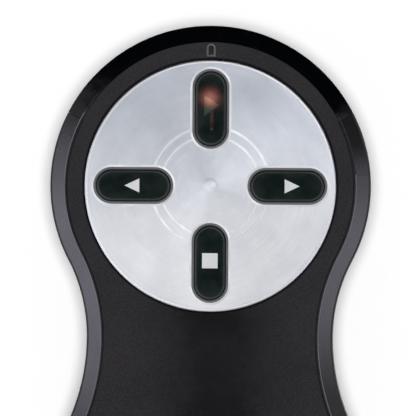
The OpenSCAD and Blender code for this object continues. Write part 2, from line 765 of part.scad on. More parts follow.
module power_knob() color(gloss_black) difference() {
  union() {
    intersection() {
      translate([-head_r, knob_y, knob_z]) cube([pocket_in - fit, knob_l, knob_h]);
      at_head() cylinder(r = head_r - draft_in, h = top_z);
    }
    translate([-pocket_x - fit - air, stem_y, stem_z])
      cube([pocket_x + fit + air - psw_x + stem_in, stem_l, stem_h]);
  }
  for (i = [-1:1]) translate([-head_r, knob_y + knob_l / 2 + knob_groove * (2.5 * i - 0.5), knob_z - over])
    cube([knob_groove - air, knob_groove, knob_h + 2 * over]);
}

module power_switch() color(steel) difference() {
  translate([-psw_x, knob_y - psw_skin, stem_z - psw_skin])
    cube([psw_w, knob_l + knob_travel + 2 * psw_skin, board_z - stem_z + psw_skin]);
  translate([-psw_x - over, stem_y - knob_gap, stem_z - knob_gap / 2])
    cube([over + stem_in + knob_gap, stem_l + knob_travel + 2 * knob_gap, stem_h + knob_gap]);
}

// A cell with its button at the end that faces +Z before it is laid down
module cell() {
  button_r = 0.36 * cell_r;
  button_l = 1.1;
  cylinder(r = cell_r, h = cell_len - button_l);
  translate([0, 0, cell_len - button_l - air]) cylinder(r = button_r, h = button_l + air);
}

module battery_left() color(cell_grey)
  translate([-cell_x, bay_front - plate_t - cell_len, cell_z]) rotate([-90, 0, 0]) cell();

module battery_right() color(cell_grey)
  translate([cell_x, bay_back + plate_t + cell_len, cell_z]) rotate([90, 0, 0]) cell();

module front_contact(side) color(steel) {
  translate([side * cell_x - plate_w / 2, bay_front - plate_t, plate_z])
    cube([plate_w, plate_t, bay_top - air - plate_z]);
  translate([side * cell_x - tab_w / 2, bay_front - plate_t, cell_z])
    cube([tab_w, plate_t, board_top + tab_out - cell_z]);
}

module bridge_contact() color(steel)
  slab(cell_x + plate_w / 2, bay_back, bay_back + plate_t, plate_z, bay_top - air);

// A cone-shaped spring of round wire along +Z
module coil(length, wide_r, narrow_r) {
  turns = 3.5;
  steps = 56;
  sides = 8;
  ring = [for (i = [0:steps]) let(a = 360 * turns * i / steps, r = wide_r + (narrow_r - wide_r) * i / steps,
      z = wire_r + (length - 2 * wire_r) * i / steps)
    [for (s = [0:sides - 1]) let(b = 360 * s / sides, out = r + wire_r * cos(b))
      [out * cos(a), out * sin(a), z + wire_r * sin(b)]]];
  polyhedron(points = [for (r = ring) each r],
    faces = concat(
      [for (i = [0:steps - 1], s = [0:sides - 1]) let(t = (s + 1) % sides)
        [i * sides + s, i * sides + t, (i + 1) * sides + t, (i + 1) * sides + s]],
      [[for (s = [sides - 1:-1:0]) s], [for (s = [0:sides - 1]) steps * sides + s]]),
    convexity = 6);
}

module negative_spring() color(steel) translate([cell_x, bay_front - plate_t - fit, cell_z])
  rotate([90, 0, 0]) coil(spring_len - 2 * fit, coil_wide_r, coil_narrow_r);

module bridge_spring() color(steel) translate([-cell_x, bay_back + plate_t + fit, cell_z])
  rotate([-90, 0, 0]) coil(spring_len - 2 * fit, coil_wide_r, coil_narrow_r);

module housing_screws() color(steel) at_screws() difference() {
  union() {
    translate([0, 0, screw_seat_z - screw_head_h]) cylinder(r = screw_head_r, h = screw_head_h);
    translate([0, 0, screw_seat_z - air])
      cylinder(r = screw_r, h = roof_z - boss_skin - tip_gap - screw_seat_z + air);
  }
  for (a = [0, 90]) rotate([0, 0, a])
    translate([-cross_l / 2, -cross_w / 2, screw_seat_z - screw_head_h - over])
      cube([cross_l, cross_w, over + cross_depth]);
}

// The receiver's outside: its free end follows the tail
module receiver_block(z0, z1) intersection() {
  slab(recv_half, tail_y - past, recv_face, z0, z1);
  translate([tail_c[0], tail_c[1], z0]) cylinder(r = tail_r - draft_in, h = z1 - z0, $fn = 128);
}

module receiver_bottom_cover() color(gloss_black) difference() {
  receiver_block(recv_z, recv_mid);
  slab(recv_half - recv_wall, recv_back + recv_end, recv_face - recv_wall, recv_board_z, top_z);
  slab(recv_half - recv_wall - recv_ledge, recv_back + recv_end + recv_ledge, recv_face - recv_wall,
    recv_z + recv_wall, top_z);
  slab(usb_w / 2 + fit, recv_face - plug_neck, recv_face + past, recv_mid - usb_h / 2 - fit, top_z);
}

module receiver_top_cover() color(gloss_black) difference() {
  receiver_block(recv_mid, recv_z + recv_h);
  slab(recv_half - recv_wall, recv_back + recv_end, recv_face - recv_wall, 0, recv_z + recv_h - recv_wall);
  slab(usb_w / 2 + fit, recv_face - plug_neck, recv_face + past, 0, recv_mid + usb_h / 2 + fit);
  // Grip ridges under the thumb notch
  for (i = [0:2]) translate([-ridge_l / 2, recv_back + ridge_in + 2 * ridge_w * i, recv_z + recv_h - ridge_w])
    cube([ridge_l, ridge_w, past]);
}

module receiver_board() color(board_green)
  slab(recv_half - recv_wall - air, recv_back + recv_end + recv_play, recv_face - plug_in - recv_play,
    recv_board_z, recv_board_z + recv_board_t);

module receiver_chip() color(chip_black) {
  top = recv_board_z + recv_board_t;
  slab(chip_w / 2, recv_chip_y, recv_chip_y + chip_w, top, top + chip_t);
  translate([-chip_w, recv_chip_y + 1.6 * chip_w, top]) cube(CRYSTAL);
}

module usb_plug_shell() color(steel) difference() {
  slab(usb_w / 2, recv_face - plug_in, recv_front, recv_mid - usb_h / 2, recv_mid + usb_h / 2);
  slab(usb_w / 2 - usb_sheet, recv_face - plug_in - over, recv_front + over,
    recv_mid - usb_h / 2 + usb_sheet, recv_mid + usb_h / 2 - usb_sheet);
  // Two square windows in each wide side
  for (side = [-1, 1]) translate([side * latch_x - latch_w / 2, recv_front - latch_back, recv_mid - usb_h])
    cube([latch_w, 0.8 * latch_w, 2 * usb_h]);
}

module usb_tongue() color(white_plastic) slab(usb_w / 2 - usb_sheet - air, recv_face - plug_in,
  recv_front - tongue_in, recv_mid - usb_h / 2 + usb_sheet, recv_mid - air);

module usb_contacts() color(brass) for (i = [-1.5:1:1.5])
  translate([pin_pitch * i - pin_w / 2, recv_face - plug_in - air, recv_mid - air])
    cube([pin_w, usb_out + plug_in - tongue_in - over, 2 * air]);

upper_housing();
lower_housing();
battery_door();
front_window();
laser_aperture_lens();
face_disc();
disc_adhesive();
status_light_pipe();
status_led();
key_cap("laser", 90);  // laser_button
key_cap("back", 180);  // back_button
key_cap("next", 0);  // next_button
key_cap("stop", 270);  // stop_button
legend("laser", 90, legend_red);  // laser_legend
legend("back", 180, legend_white);  // back_legend
legend("next", 0, legend_white);  // next_legend
legend("stop", 270, legend_white);  // stop_legend
key_plunger(90);  // laser_plunger
key_plunger(180);  // back_plunger
key_plunger(0);  // next_plunger
key_plunger(270);  // stop_plunger
key_switch(90);  // laser_switch
key_switch(180);  // back_switch
key_switch(0);  // next_switch
key_switch(270);  // stop_switch
snap_domes();
main_board();
radio_chip();
crystal();
board_passives();
laser_barrel();
laser_lens();
laser_diode();
laser_board();
laser_leads();
power_knob();
power_switch();
battery_left();
battery_right();
front_contact(-1);  // positive_contact
front_contact(1);  // negative_contact
bridge_contact();
negative_spring();
bridge_spring();
housing_screws();
receiver_top_cover();
receiver_bottom_cover();
receiver_board();
receiver_chip();
usb_plug_shell();
usb_tongue();
usb_contacts();
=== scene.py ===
"""Looks of the presentation clicker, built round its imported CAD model. Lengths below are in millimetres
in the CAD's frame: +Y to the nose, +Z up through the keys. Meshes are scaled to metres as they are made."""
import json
import math

import bmesh
import bpy
from mathutils import Matrix, Vector


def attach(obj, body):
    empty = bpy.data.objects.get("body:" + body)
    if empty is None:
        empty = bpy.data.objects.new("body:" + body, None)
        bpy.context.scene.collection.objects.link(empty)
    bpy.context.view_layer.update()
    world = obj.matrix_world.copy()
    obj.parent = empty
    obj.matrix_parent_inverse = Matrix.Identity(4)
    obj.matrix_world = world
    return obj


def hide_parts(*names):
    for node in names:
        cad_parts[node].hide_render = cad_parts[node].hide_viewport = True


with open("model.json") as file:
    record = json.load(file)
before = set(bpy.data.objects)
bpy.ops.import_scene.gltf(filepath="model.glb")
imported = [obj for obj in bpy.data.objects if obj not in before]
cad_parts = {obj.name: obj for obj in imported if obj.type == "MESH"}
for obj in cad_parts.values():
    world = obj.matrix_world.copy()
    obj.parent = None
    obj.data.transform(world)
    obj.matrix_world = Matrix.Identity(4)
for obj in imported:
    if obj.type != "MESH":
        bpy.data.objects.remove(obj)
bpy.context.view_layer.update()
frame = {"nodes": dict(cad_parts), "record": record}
scene = bpy.context.scene
MM = 0.001

# -------- sizes, most of them as in the CAD
HEAD_Y, HEAD_R, NOSE_Y = 32.0, 21.0, 53.0
WAIST_Y, WAIST_HALF, WAIST_DROP = 12.1, 16.1, 19.9
FLARE_R, BULGE_DROP, HANDLE_HALF, FLANK_R = 27.0, 23.4, 20.6, 110.0
CORNER_R, TAIL_R, TAIL_Y = 10.0, 45.0, -53.0
SPLIT, TOP, DRAFT, BEVEL_IN, BEVEL_DROP = 11.0, 26.0, 0.25, 1.6, 1.1
WALL, FLOOR, BELLY_IN, NOSE_RISE, RISE_LEN = 2.1, 1.6, 9.0, 5.5, 39.0
ROOF, DECK, DISC_Z, DISC_TOP, KEY_TOP = 24.0, 25.2, 25.3, 26.2, 26.6
DISC_R, DISC_GAP, BEADS_R = 16.5, 0.2, (6.5, 7.76)
KEY_C, KEY_L, KEY_W, SYMBOL_T = 10.1, 9.6, 3.95, 0.3
HOLE, COLLAR, SLOT = 0.34, 0.86, 0.98        # how much wider than the key each is
EDGE_IN, EDGE_OUT = 0.88, 1.46               # the bright edge of the disc's slots, counted like HOLE
BEZEL_Z = 25.6                               # where the bezels round the keys stand on the housing
FLANGE_Z, FLANGE_TOP, FLANGE_OUT = 22.95, 23.95, 0.9
BOARD_Z, BOARD_TOP = 19.3, 20.3
PIPE_W, PIPE_Y, PIPE_L, PIPE_FOOT = 1.2, 48.95, 1.7, 21.1
WINDOW_T, WINDOW_ANGLE, NOSE_R = 2.12, 27.0, 17.8
LASER_Z, LENS_R, LENS_BACK = 15.5, 1.95, 51.4
KNOB_Y, KNOB_Z, KNOB_L, KNOB_H, KNOB_TRAVEL, KNOB_GAP = 27.0, 14.4, 8.0, 4.4, 2.0, 0.3
STEM_Y, STEM_Z, STEM_L, STEM_H = 29.8, 15.9, 2.4, 1.4
RECV_HALF, RECV_H, RECV_MID, RECV_FACE = 9.1, 7.3, 19.15, -14.95
RECV_GAP, RECV_STOP, RECV_WALL = 0.1, -2.35, 1.0
USB_W, USB_H = 12.0, 4.5
CELL_X, CELL_Z, CELL_L, LEFT_CELL_Y, RIGHT_CELL_Y = 5.6, 7.6, 44.5, -38.8, 0.8
BAY_HALF, BAY_BACK, BAY_FRONT, BAY_TOP, BAY_WALL, BAY_ROOF = 11.1, -44.0, 6.0, 13.1, 1.2, 1.0
DOOR_HALF, DOOR_FRONT, DOOR_TOP, DOOR_GAP, DOOR_RIM = 11.4, 8.4, 4.4, 0.1, 1.2
TONGUE_OUT, TONGUE_Z, RAIL_W, RAIL_H = 1.0, 3.2, 2.0, 1.3
RIB_HALF, RIB_T, RIB_TOP, RIBS_Y = 10.8, 1.0, 2.25, (-35.2, -21.8, -8.4)
SCREW_AT, SCREW_R, SCREW_SEAT, WELL_R, SHANK_HOLE_R, POST_R, BOSS_R = 10.253, 0.9, 6.5, 2.1, 1.0, 3.2, 2.7
SCREWS = [(sx * SCREW_AT, HEAD_Y + sy * SCREW_AT) for sx in (-1, 1) for sy in (-1, 1)]
GLOW_AT, GLOW_R = (-0.08, 43.5), 0.68        # the red glow in the laser key
KEYS = {"laser": 90, "back": 180, "next": 0, "stop": 270}
BEHIND, BELOW, ABOVE = -60, -5, 30           # where cuts end that reach past the part

# -------- meshes


def cos(degrees):
    return math.cos(math.radians(degrees))


def sin(degrees):
    return math.sin(math.radians(degrees))


def arc(c, r, a0, a1, n):
    """n points of an arc, without its last one, from angle a0 to a1 in degrees."""
    angles = [math.radians(a0 + (a1 - a0) * i / n) for i in range(n)]
    return [(c[0] + r * math.cos(a), c[1] + r * math.sin(a)) for a in angles]


def circle(n):
    """n angles, equally far apart."""
    return [2 * math.pi * i / n for i in range(n)]


def outline_arcs():
    """The CAD's outline as (centre, radius, side, from, to, points). side is -1 on the two hollow arcs."""
    neck_r = (WAIST_HALF ** 2 + WAIST_DROP ** 2 - HEAD_R ** 2) / (2 * (HEAD_R - WAIST_HALF))
    neck = math.degrees(math.atan2(WAIST_DROP, WAIST_HALF + neck_r))
    reach = WAIST_HALF + FLARE_R - HANDLE_HALF
    bulge_r = (reach ** 2 + BULGE_DROP ** 2 - FLARE_R ** 2) / (2 * (FLARE_R - reach))
    flare = math.degrees(math.atan2(BULGE_DROP, reach + bulge_r))
    bulge_y = WAIST_Y - BULGE_DROP
    flank_c = Vector((HANDLE_HALF - FLANK_R, bulge_y))
    tail_c = Vector((0, TAIL_Y + TAIL_R))
    gap = (tail_c - flank_c).length
    way = (tail_c - flank_c) / gap
    along = ((FLANK_R - CORNER_R) ** 2 - (TAIL_R - CORNER_R) ** 2 + gap ** 2) / (2 * gap)
    aside = math.sqrt((FLANK_R - CORNER_R) ** 2 - along ** 2)
    corner = flank_c + along * way + aside * Vector((way.y, -way.x))
    flank = math.degrees(math.atan2(flank_c.y - corner.y, corner.x - flank_c.x))
    end = math.degrees(math.atan2(tail_c.y - corner.y, corner.x - tail_c.x))
    return [((0, HEAD_Y), HEAD_R, 1, 90, -neck, 100),
            ((WAIST_HALF + neck_r, WAIST_Y), neck_r, -1, 180 - neck, 180, 22),
            ((WAIST_HALF + FLARE_R, WAIST_Y), FLARE_R, -1, 180, 180 + flare, 22),
            ((HANDLE_HALF - bulge_r, bulge_y), bulge_r, 1, flare, 0, 24),
            (tuple(flank_c), FLANK_R, 1, 0, -flank, 44), (tuple(corner), CORNER_R, 1, -flank, -end, 34),
            (tuple(tail_c), TAIL_R, 1, -end, -90, 12)]


ARCS = outline_arcs()


def outline(d):
    """The outline from above, moved in by d, as a closed ring of points."""
    right = [p for c, r, side, a0, a1, n in ARCS for p in arc(c, r - side * d, a0, a1, n)]
    right.append((0, TAIL_Y + d))
    return right + [(-x, y) for x, y in reversed(right[1:-1])]


def lift(y):
    """How far the underside has risen at y, on its way up to the nose."""
    return NOSE_RISE * max(0, (y - NOSE_Y + RISE_LEN) / RISE_LEN) ** 2


def belly_ring(q, t):
    """A ring of the belly. q is 90 at the flat underside, 0 at the split line. t is 0 outside, 1 inside."""
    d = WALL * t * cos(q) + BELLY_IN * (1 - cos(q))
    return [(x, y, SPLIT - (SPLIT - lift(y) - FLOOR * t) * sin(q)) for x, y in outline(d)]


def flat_ring(d, z):
    return [(x, y, z) for x, y in outline(d)]


def rounded(points, steps=5):
    """A profile of (a, b, radius) corners with each corner turned into an arc of its radius."""
    out = []
    for i, (a, b, r) in enumerate(points):
        p = Vector((a, b))
        if not r or i in (0, len(points) - 1):
            out.append((a, b))
            continue
        back = (Vector(points[i - 1][:2]) - p).normalized()
        ahead = (Vector(points[i + 1][:2]) - p).normalized()
        half = back.angle(ahead) / 2
        centre = p + (back + ahead).normalized() * r / math.sin(half)
        v0, v1 = p + back * r / math.tan(half) - centre, p + ahead * r / math.tan(half) - centre
        turn = v0.angle(v1)
        for k in range(steps + 1):
            w0, w1 = math.sin(turn * (1 - k / steps)), math.sin(turn * k / steps)
            out.append(tuple(centre + (v0 * w0 + v1 * w1) / math.sin(turn)))
    return out


def edit(mesh, change):
    bm = bmesh.new()
    bm.from_mesh(mesh)
    change(bm)
    bm.to_mesh(mesh)
    bm.free()


def face_out(bm):
    bmesh.ops.recalc_face_normals(bm, faces=bm.faces)


def new_object(name, data):
    obj = bpy.data.objects.new(name, data)
    scene.collection.objects.link(obj)
    return obj


def solid(name, points, faces):
    mesh = bpy.data.meshes.new(name)
    mesh.from_pydata([tuple(c * MM for c in p) for p in points], [], faces)
    edit(mesh, face_out)
    return new_object(name, mesh)


def quads(rows, n, closed=False):
    """The faces between rows of n points each. Where closed, the last row joins up with the first."""
    pairs = [(k * n, (k + 1) % rows * n) for k in range(rows if closed else rows - 1)]
    return [(a + i, a + (i + 1) % n, b + (i + 1) % n, b + i) for a, b in pairs for i in range(n)]


def skin(rings, strips=True):
    """A closed skin over rings of equal length. Its two caps are strips across the part, or plain faces."""
    n, last = len(rings[0]), (len(rings) - 1) * len(rings[0])
    half = n // 2
    if strips:
        middle = [(i, i + 1, n - i - 1, n - i) for i in range(1, half - 1)]
        caps = [(0, 1, n - 1)] + middle + [(half - 1, half, half + 1)]
    else:
        caps = [tuple(range(n))]
    faces = quads(len(rings), n) + caps + [tuple(last + i for i in c) for c in caps]
    return solid("skin", [p for ring in rings for p in ring], faces)


def hoop(rings):
    """A closed tube: its last ring joins up with its first."""
    return solid("hoop", [p for ring in rings for p in ring], quads(len(rings), len(rings[0]), closed=True))


def crown(profile):
    """The upper body: its profile is (move in, height) from the split line to the top."""
    return skin([flat_ring(d, z) for d, z in profile], strips=False)


def slab(half_w, y0, y1, z0, z1, x=0.0):
    """A block that is 2 * half_w wide, with its middle at x."""
    pts = [(x + sx * half_w, y, z) for z in (z0, z1) for sx, y in ((-1, y0), (1, y0), (1, y1), (-1, y1))]
    sides = [(i, (i + 1) % 4, 4 + (i + 1) % 4, 4 + i) for i in range(4)]
    return solid("slab", pts, [(0, 1, 2, 3), (4, 5, 6, 7)] + sides)


def prism(points, z0, z1):
    return skin([[(x, y, z) for x, y in points] for z in (z0, z1)], strips=False)


def turned(profile, n, at=(0, 0, 0), axis="Z"):
    """A solid of revolution, closed at both ends: profile is (radius, height)."""
    rows = [p for p in profile if p[0] > 0]
    pts, faces = [], quads(len(rows), n)
    for r, h in rows:
        pts += [(r * math.cos(a), r * math.sin(a), h) for a in circle(n)]
    for row, end in ((0, profile[0]), (len(rows) - 1, profile[-1])):
        if end[0] > 0:
            faces.append(tuple(row * n + i for i in range(n)))
        else:
            pts.append((0, 0, end[1]))
            faces += [(row * n + i, row * n + (i + 1) % n, len(pts) - 1) for i in range(n)]
    if axis == "Y":
        pts = [(x, z, -y) for x, y, z in pts]
    return solid("turned", [tuple(p + a for p, a in zip(q, at)) for q in pts], faces)


def rod(r, z0, z1, at=(0, 0), n=64):
    return turned([(r, z0), (r, z1)], n, (at[0], at[1], 0))


def beam_rod(r, y0=HEAD_Y):
    """A round bar along the laser's beam, out through the nose."""
    return turned([(r, y0), (r, 60)], 64, (0, 0, LASER_Z), "Y")


def at_key(angle, points):
    """Points drawn with the key's outward direction along X, put in that key's place."""
    c, s = cos(angle), sin(angle)
    return [(p[0] * c - p[1] * s, HEAD_Y + p[0] * s + p[1] * c, *p[2:]) for p in points]


def stadium(grow, n=24):
    """Outline of a key, wider by grow, with the disc's centre at the origin."""
    r, half = (KEY_W + grow) / 2, (KEY_L - KEY_W) / 2
    far, near = KEY_C + half, KEY_C - half
    return arc((far, 0), r, -90, 90, n) + [(far, r)] + arc((near, 0), r, 90, 270, n) + [(near, -r)]


def key_rings(angle, profile):
    return [at_key(angle, [(x, y, z) for x, y in stadium(grow)]) for grow, z in profile]


def slot_cut(angle, profile):
    """A key-shaped solid: profile is (grow, height)."""
    return skin(key_rings(angle, profile), strips=False)


def key_cuts(profile):
    """The same key-shaped solid in the places of all four keys."""
    return [slot_cut(angle, profile) for angle in KEYS.values()]


def arch(grow, n=20):
    """Outline of the status light: straight sides and a round end toward the nose."""
    r, back, front = (PIPE_W + grow) / 2, PIPE_Y - grow / 2, PIPE_Y + PIPE_L - PIPE_W / 2
    return [(-r, back), (r, back)] + arc((0, front), r, 0, 180, n) + [(-r, front)]


def sector(angle, z0=5, z1=31):
    """The part of the head in front of two rays from its centre, angle above its widest points."""
    reach = 30.0
    x, y = reach * cos(angle), reach * sin(angle)
    pts = [(0, 0), (x, y), (reach, reach), (reach, 2 * reach), (-reach, 2 * reach), (-reach, reach), (-x, y)]
    return prism([(x, HEAD_Y + y) for x, y in pts], z0, z1)


def head_rod(r, z0=4, z1=32, n=192):
    """A round bar on the head's axis."""
    return rod(r, z0, z1, (0, HEAD_Y), n)


def combine(how, first, others):
    """Joins, cuts or crosses the first solid with each of the others, which it uses up."""
    for other in others:
        mod = first.modifiers.new("combine", "BOOLEAN")
        mod.operation, mod.object, mod.solver = how, other, "MANIFOLD"
        seen = first.evaluated_get(bpy.context.evaluated_depsgraph_get())
        mesh = bpy.data.meshes.new_from_object(seen)
        first.modifiers.clear()
        old, first.data = first.data, mesh
        bpy.data.meshes.remove(old)
        used = other.data
        bpy.data.objects.remove(other)
        bpy.data.meshes.remove(used)
        if not len(first.data.polygons):
            raise RuntimeError("a solid came out empty")
    return first


def cut(first, *others):
    return combine("DIFFERENCE", first, others)


def join(first, *others):
    return combine("UNION", first, others)


def cross(first, *others):
    return combine("INTERSECT", first, others)


def merge_flat(bm):
    """Turns faces that lie in one plane into one face."""
    bmesh.ops.dissolve_limit(bm, angle_limit=math.radians(0.05), verts=bm.verts, edges=bm.edges)


def eased(piece, r, steps=2, angle=35):
    """Rounds every edge of a solid that is sharper than angle."""
    def change(bm):
        merge_flat(bm)
        sharp = [e for e in bm.edges if e.is_manifold and e.calc_face_angle() > math.radians(angle)]
        bmesh.ops.bevel(bm, geom=sharp, offset=r * MM, segments=steps, profile=0.5, affect="EDGES",
                        clamp_overlap=True)
    edit(piece.data, change)
    return piece


def groove_x(half_l, r, y, z):
    """A round-bottomed groove along X with run-out ends."""
    end = [(0.0, half_l), (0.4 * r, half_l - 0.2 * r), (0.86 * r, half_l - r), (r, half_l - 1.8 * r)]
    groove = turned([(a, -h) for a, h in end] + [(a, h) for a, h in reversed(end)], 24)
    for v in groove.data.vertices:
        v.co = Vector((v.co.z, v.co.x * 0.75 + y * MM, v.co.y * 0.75 + z * MM))
    edit(groove.data, face_out)
    return groove


def rounded_rect(half_w, half_h, r, n=6):
    points = []
    for sx, sy, a in ((1, 1, 0), (-1, 1, 90), (-1, -1, 180), (1, -1, 270)):
        x, y = sx * (half_w - r), sy * (half_h - r)
        points += arc((x, y), r, a, a + 90, n) + [(x + r * cos(a + 90), y + r * sin(a + 90))]
    return points


def polish(piece, material, chosen):
    """Gives the faces that chosen picks another material."""
    piece.data.materials.append(material)
    for face in piece.data.polygons:
        if chosen(face):
            face.material_index = len(piece.data.materials) - 1


def on_bevel(face):
    """Whether a face is on the bevel round the top, whose normal has a Z of 0.82."""
    return 0.76 < face.normal.z < 0.89 and face.center.z > (TOP - BEVEL_DROP - 0.1) * MM


def by_window(face):
    """Whether a face is on the bevel's ends beside the window, which reach further back on the right."""
    c = face.center
    return on_bevel(face) and math.atan2(c.y - HEAD_Y * MM, abs(c.x)) > math.radians(4 if c.x > 0 else 12)


def finish(piece, name, body, slot, nodes=(), material=None, sharp=28):
    """Names a solid, smooths it up to an angle, gives it a material and seats it in the frame."""
    piece.name = piece.data.name = name
    mesh = piece.data
    edit(mesh, merge_flat)
    mesh.materials.clear()
    mesh.materials.append(material or SLOTS[slot])
    mesh.shade_smooth()
    mesh.set_sharp_from_angle(angle=math.radians(sharp))
    mod = piece.modifiers.new("normals", "WEIGHTED_NORMAL")
    mod.keep_sharp, mod.weight = True, 100
    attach(piece, body)
    if nodes:
        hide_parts(*nodes)
    return piece


# -------- materials


class Graph:
    """Builds a material's nodes with few words."""

    def __init__(self, tree):
        self.tree = tree

    def put(self, socket, value):
        if isinstance(value, bpy.types.NodeSocket):
            self.tree.links.new(value, socket)
        else:
            socket.default_value = value

    def feed(self, node, inputs):
        for k, v in dict(inputs).items():
            self.put(node.inputs[k], v)

    def add(self, kind, inputs=(), **props):
        node = self.tree.nodes.new(kind)
        for k, v in props.items():
            setattr(node, k, v)
        self.feed(node, inputs)
        return node

    def math(self, op, *args):
        return self.add("ShaderNodeMath", dict(enumerate(args)), operation=op).outputs[0]

    def plus(self, a, b):
        return self.math("ADD", a, b)

    def minus(self, a, b):
        return self.math("SUBTRACT", a, b)

    def times(self, a, b):
        return self.math("MULTIPLY", a, b)

    def over(self, a, b):
        return self.math("DIVIDE", a, b)

    def length(self, a, b):
        return self.math("SQRT", self.plus(self.times(a, a), self.times(b, b)))

    def squared(self, value, centre, width):
        """0 where value is at centre and 1 where it is width millimetres away, growing with the square."""
        return self.math("POWER", self.over(self.minus(value, centre * MM), width * MM), 2.0)

    def fading(self, value, speed=1.0):
        """1 where value is 0, and less and less where it is more."""
        return self.math("EXPONENT", self.times(value, -speed))

    def ramp(self, value, low, high, to_low=0.0, to_high=1.0, smooth=True):
        ends = {"Value": value, "From Min": low, "From Max": high, "To Min": to_low, "To Max": to_high}
        kind = "SMOOTHSTEP" if smooth else "LINEAR"
        return self.add("ShaderNodeMapRange", ends, interpolation_type=kind).outputs["Result"]

    def vary(self, noise, low=0.0, high=1.0):
        """Noise, which seldom leaves 0.3 to 0.7, as a value from low to high."""
        return self.ramp(noise, 0.3, 0.7, low, high)

    def by_side(self, x, left, right):
        """left where x is negative and right where it is positive."""
        is_right = self.math("GREATER_THAN", x, 0.0)
        return self.plus(self.times(left, self.minus(1.0, is_right)), self.times(right, is_right))

    def mix(self, factor, a, b):
        return self.add("ShaderNodeMix", {0: factor, 6: a, 7: b}, data_type="RGBA").outputs[2]

    def dimmed(self, colour, value):
        return self.add("ShaderNodeHueSaturation", {"Color": colour, "Value": value}).outputs[0]

    def place(self):
        return self.add("ShaderNodeTexCoord").outputs["Object"]

    def split(self, vector):
        return self.add("ShaderNodeSeparateXYZ", {0: vector}).outputs

    def plan(self):
        """A place's X and Y in the part's frame."""
        return self.split(self.place())[:2]

    def join(self, x, y, z):
        return self.add("ShaderNodeCombineXYZ", {0: x, 1: y, 2: z}).outputs[0]

    def head_angle(self, x, y):
        """The angle from the head's widest point to a place on its front, the same on both sides."""
        return self.math("ARCTAN2", self.minus(y, HEAD_Y * MM), self.math("ABSOLUTE", x))

    def noise(self, size, detail=2.0, rough=0.5, stretch=(1, 1, 1)):
        """Noise whose grains are size millimetres wide."""
        scale = [s / (size * MM) for s in stretch]
        at = self.add("ShaderNodeMapping", {"Vector": self.place(), "Scale": scale}).outputs[0]
        kind = {"Vector": at, "Scale": 1.0, "Detail": detail, "Roughness": rough}
        return self.add("ShaderNodeTexNoise", kind).outputs["Fac"]

    def bump(self, height, depth, strength=1.0, normal=None):
        """depth is how many millimetres the height's whole range stands for."""
        node = self.add("ShaderNodeBump", {"Height": height, "Distance": depth * MM, "Strength": strength})
        if normal is not None:
            self.put(node.inputs["Normal"], normal)
        return node.outputs[0]


def nodes_of(mat):
    """A material's graph and its shader."""
    return Graph(mat.node_tree), mat.node_tree.nodes["Principled BSDF"]


def new_material(name):
    mat = bpy.data.materials.new(name)
    mat.use_nodes = True
    return mat, *nodes_of(mat)


def rgb(r, g, b):
    return (r, g, b, 1.0)


def shade(colour, by):
    return rgb(*(min(1, c * by) for c in colour[:3]))


def plain(name, colour, rough, metallic=0.0, grain=0.25, depth=0.004, mottle=0.12, rough_vary=0.08,
          stretch=(1, 1, 1), specular=0.5, coat=0.0):
    """A moulded, painted or stamped surface with its grain, its uneven tone and its uneven gloss."""
    mat, g, b = new_material(name)
    fine = g.noise(grain, 3.0, 0.6, stretch=stretch)
    wide = g.noise(grain * 22, 3.0, 0.55)
    tone = g.vary(g.plus(g.times(fine, 0.5), g.times(wide, 0.5)))
    g.feed(b, {"Base Color": g.mix(tone, shade(colour, 1 - mottle), shade(colour, 1 + mottle)),
               "Roughness": g.vary(wide, rough - rough_vary, rough + rough_vary),
               "Normal": g.bump(fine, depth), "Metallic": metallic,
               "Specular IOR Level": specular, "Coat Weight": coat})
    return mat


def charcoal(name, specular, gloss=0.0):
    """Fine-grained charcoal plastic, handled smooth down its middle, where painted shade also darkens it.
    gloss makes it shinier.
    """
    mat, g, b = new_material(name)
    x, y = g.plan()
    fine = g.noise(0.26, 2.0, 0.7)
    wide = g.noise(6.0, 3.0, 0.55)
    ragged = g.times(g.minus(g.noise(0.9, 3.0, 0.7), 0.5), 5 * MM)
    aside = g.plus(g.math("ABSOLUTE", g.minus(x, 0.9 * MM)), ragged)
    # down the handle's middle: glossier, and darker with painted shade
    middle_shade_and_gloss = g.times(g.ramp(aside, 1.5 * MM, 12.5 * MM, 1.0, 0.0), g.ramp(y, 15 * MM, 22 * MM, 1.0, 0.0))
    tone = g.ramp(g.plus(g.times(fine, 0.8), g.times(wide, 0.2)), 0.36, 0.64)
    base = g.mix(tone, rgb(0.0062, 0.0052, 0.0067), rgb(0.0190, 0.0163, 0.0197))
    rough = g.minus(g.vary(wide, 0.42, 0.48), g.plus(g.times(middle_shade_and_gloss, 0.2), gloss))
    if gloss:
        dull_from, dull_to = math.radians(-14), math.radians(WINDOW_ANGLE)
        rough = g.plus(rough, g.ramp(g.head_angle(x, y), dull_from, dull_to, 0.0, 0.22))
    # painted shade: the base colour goes toward near black down the handle's middle
    g.feed(b, {"Base Color": g.mix(g.times(middle_shade_and_gloss, 0.92), base, rgb(0.0040, 0.0034, 0.0042)),
               "Roughness": rough, "Normal": g.bump(fine, 0.024, 0.8), "Specular IOR Level": specular})
    return mat


def bevel_end():
    """The bevel beside the window, with painted light: a sheen lighter than the charcoal that fades into
    painted shade, as dark as gloss black, toward the window, sooner on the right.
    """
    mat = charcoal("bevel_end", 0.24)
    g, b = nodes_of(mat)
    x, y = g.plan()
    angle = g.head_angle(x, y)
    # painted sheen fading into painted shade toward the window, on the left and on the right
    left = g.ramp(angle, math.radians(10), math.radians(30), 0.080, 0.009, smooth=False)
    right = g.ramp(angle, math.radians(3), math.radians(17), 0.058, 0.004)
    speck = g.vary(g.noise(0.4, 3.0, 0.7), 0.8, 1.2)
    tone = g.times(g.by_side(x, left, right), speck)
    g.put(b.inputs["Base Color"], g.mix(tone, rgb(0, 0, 0), rgb(1.0, 0.94, 1.06)))
    return mat


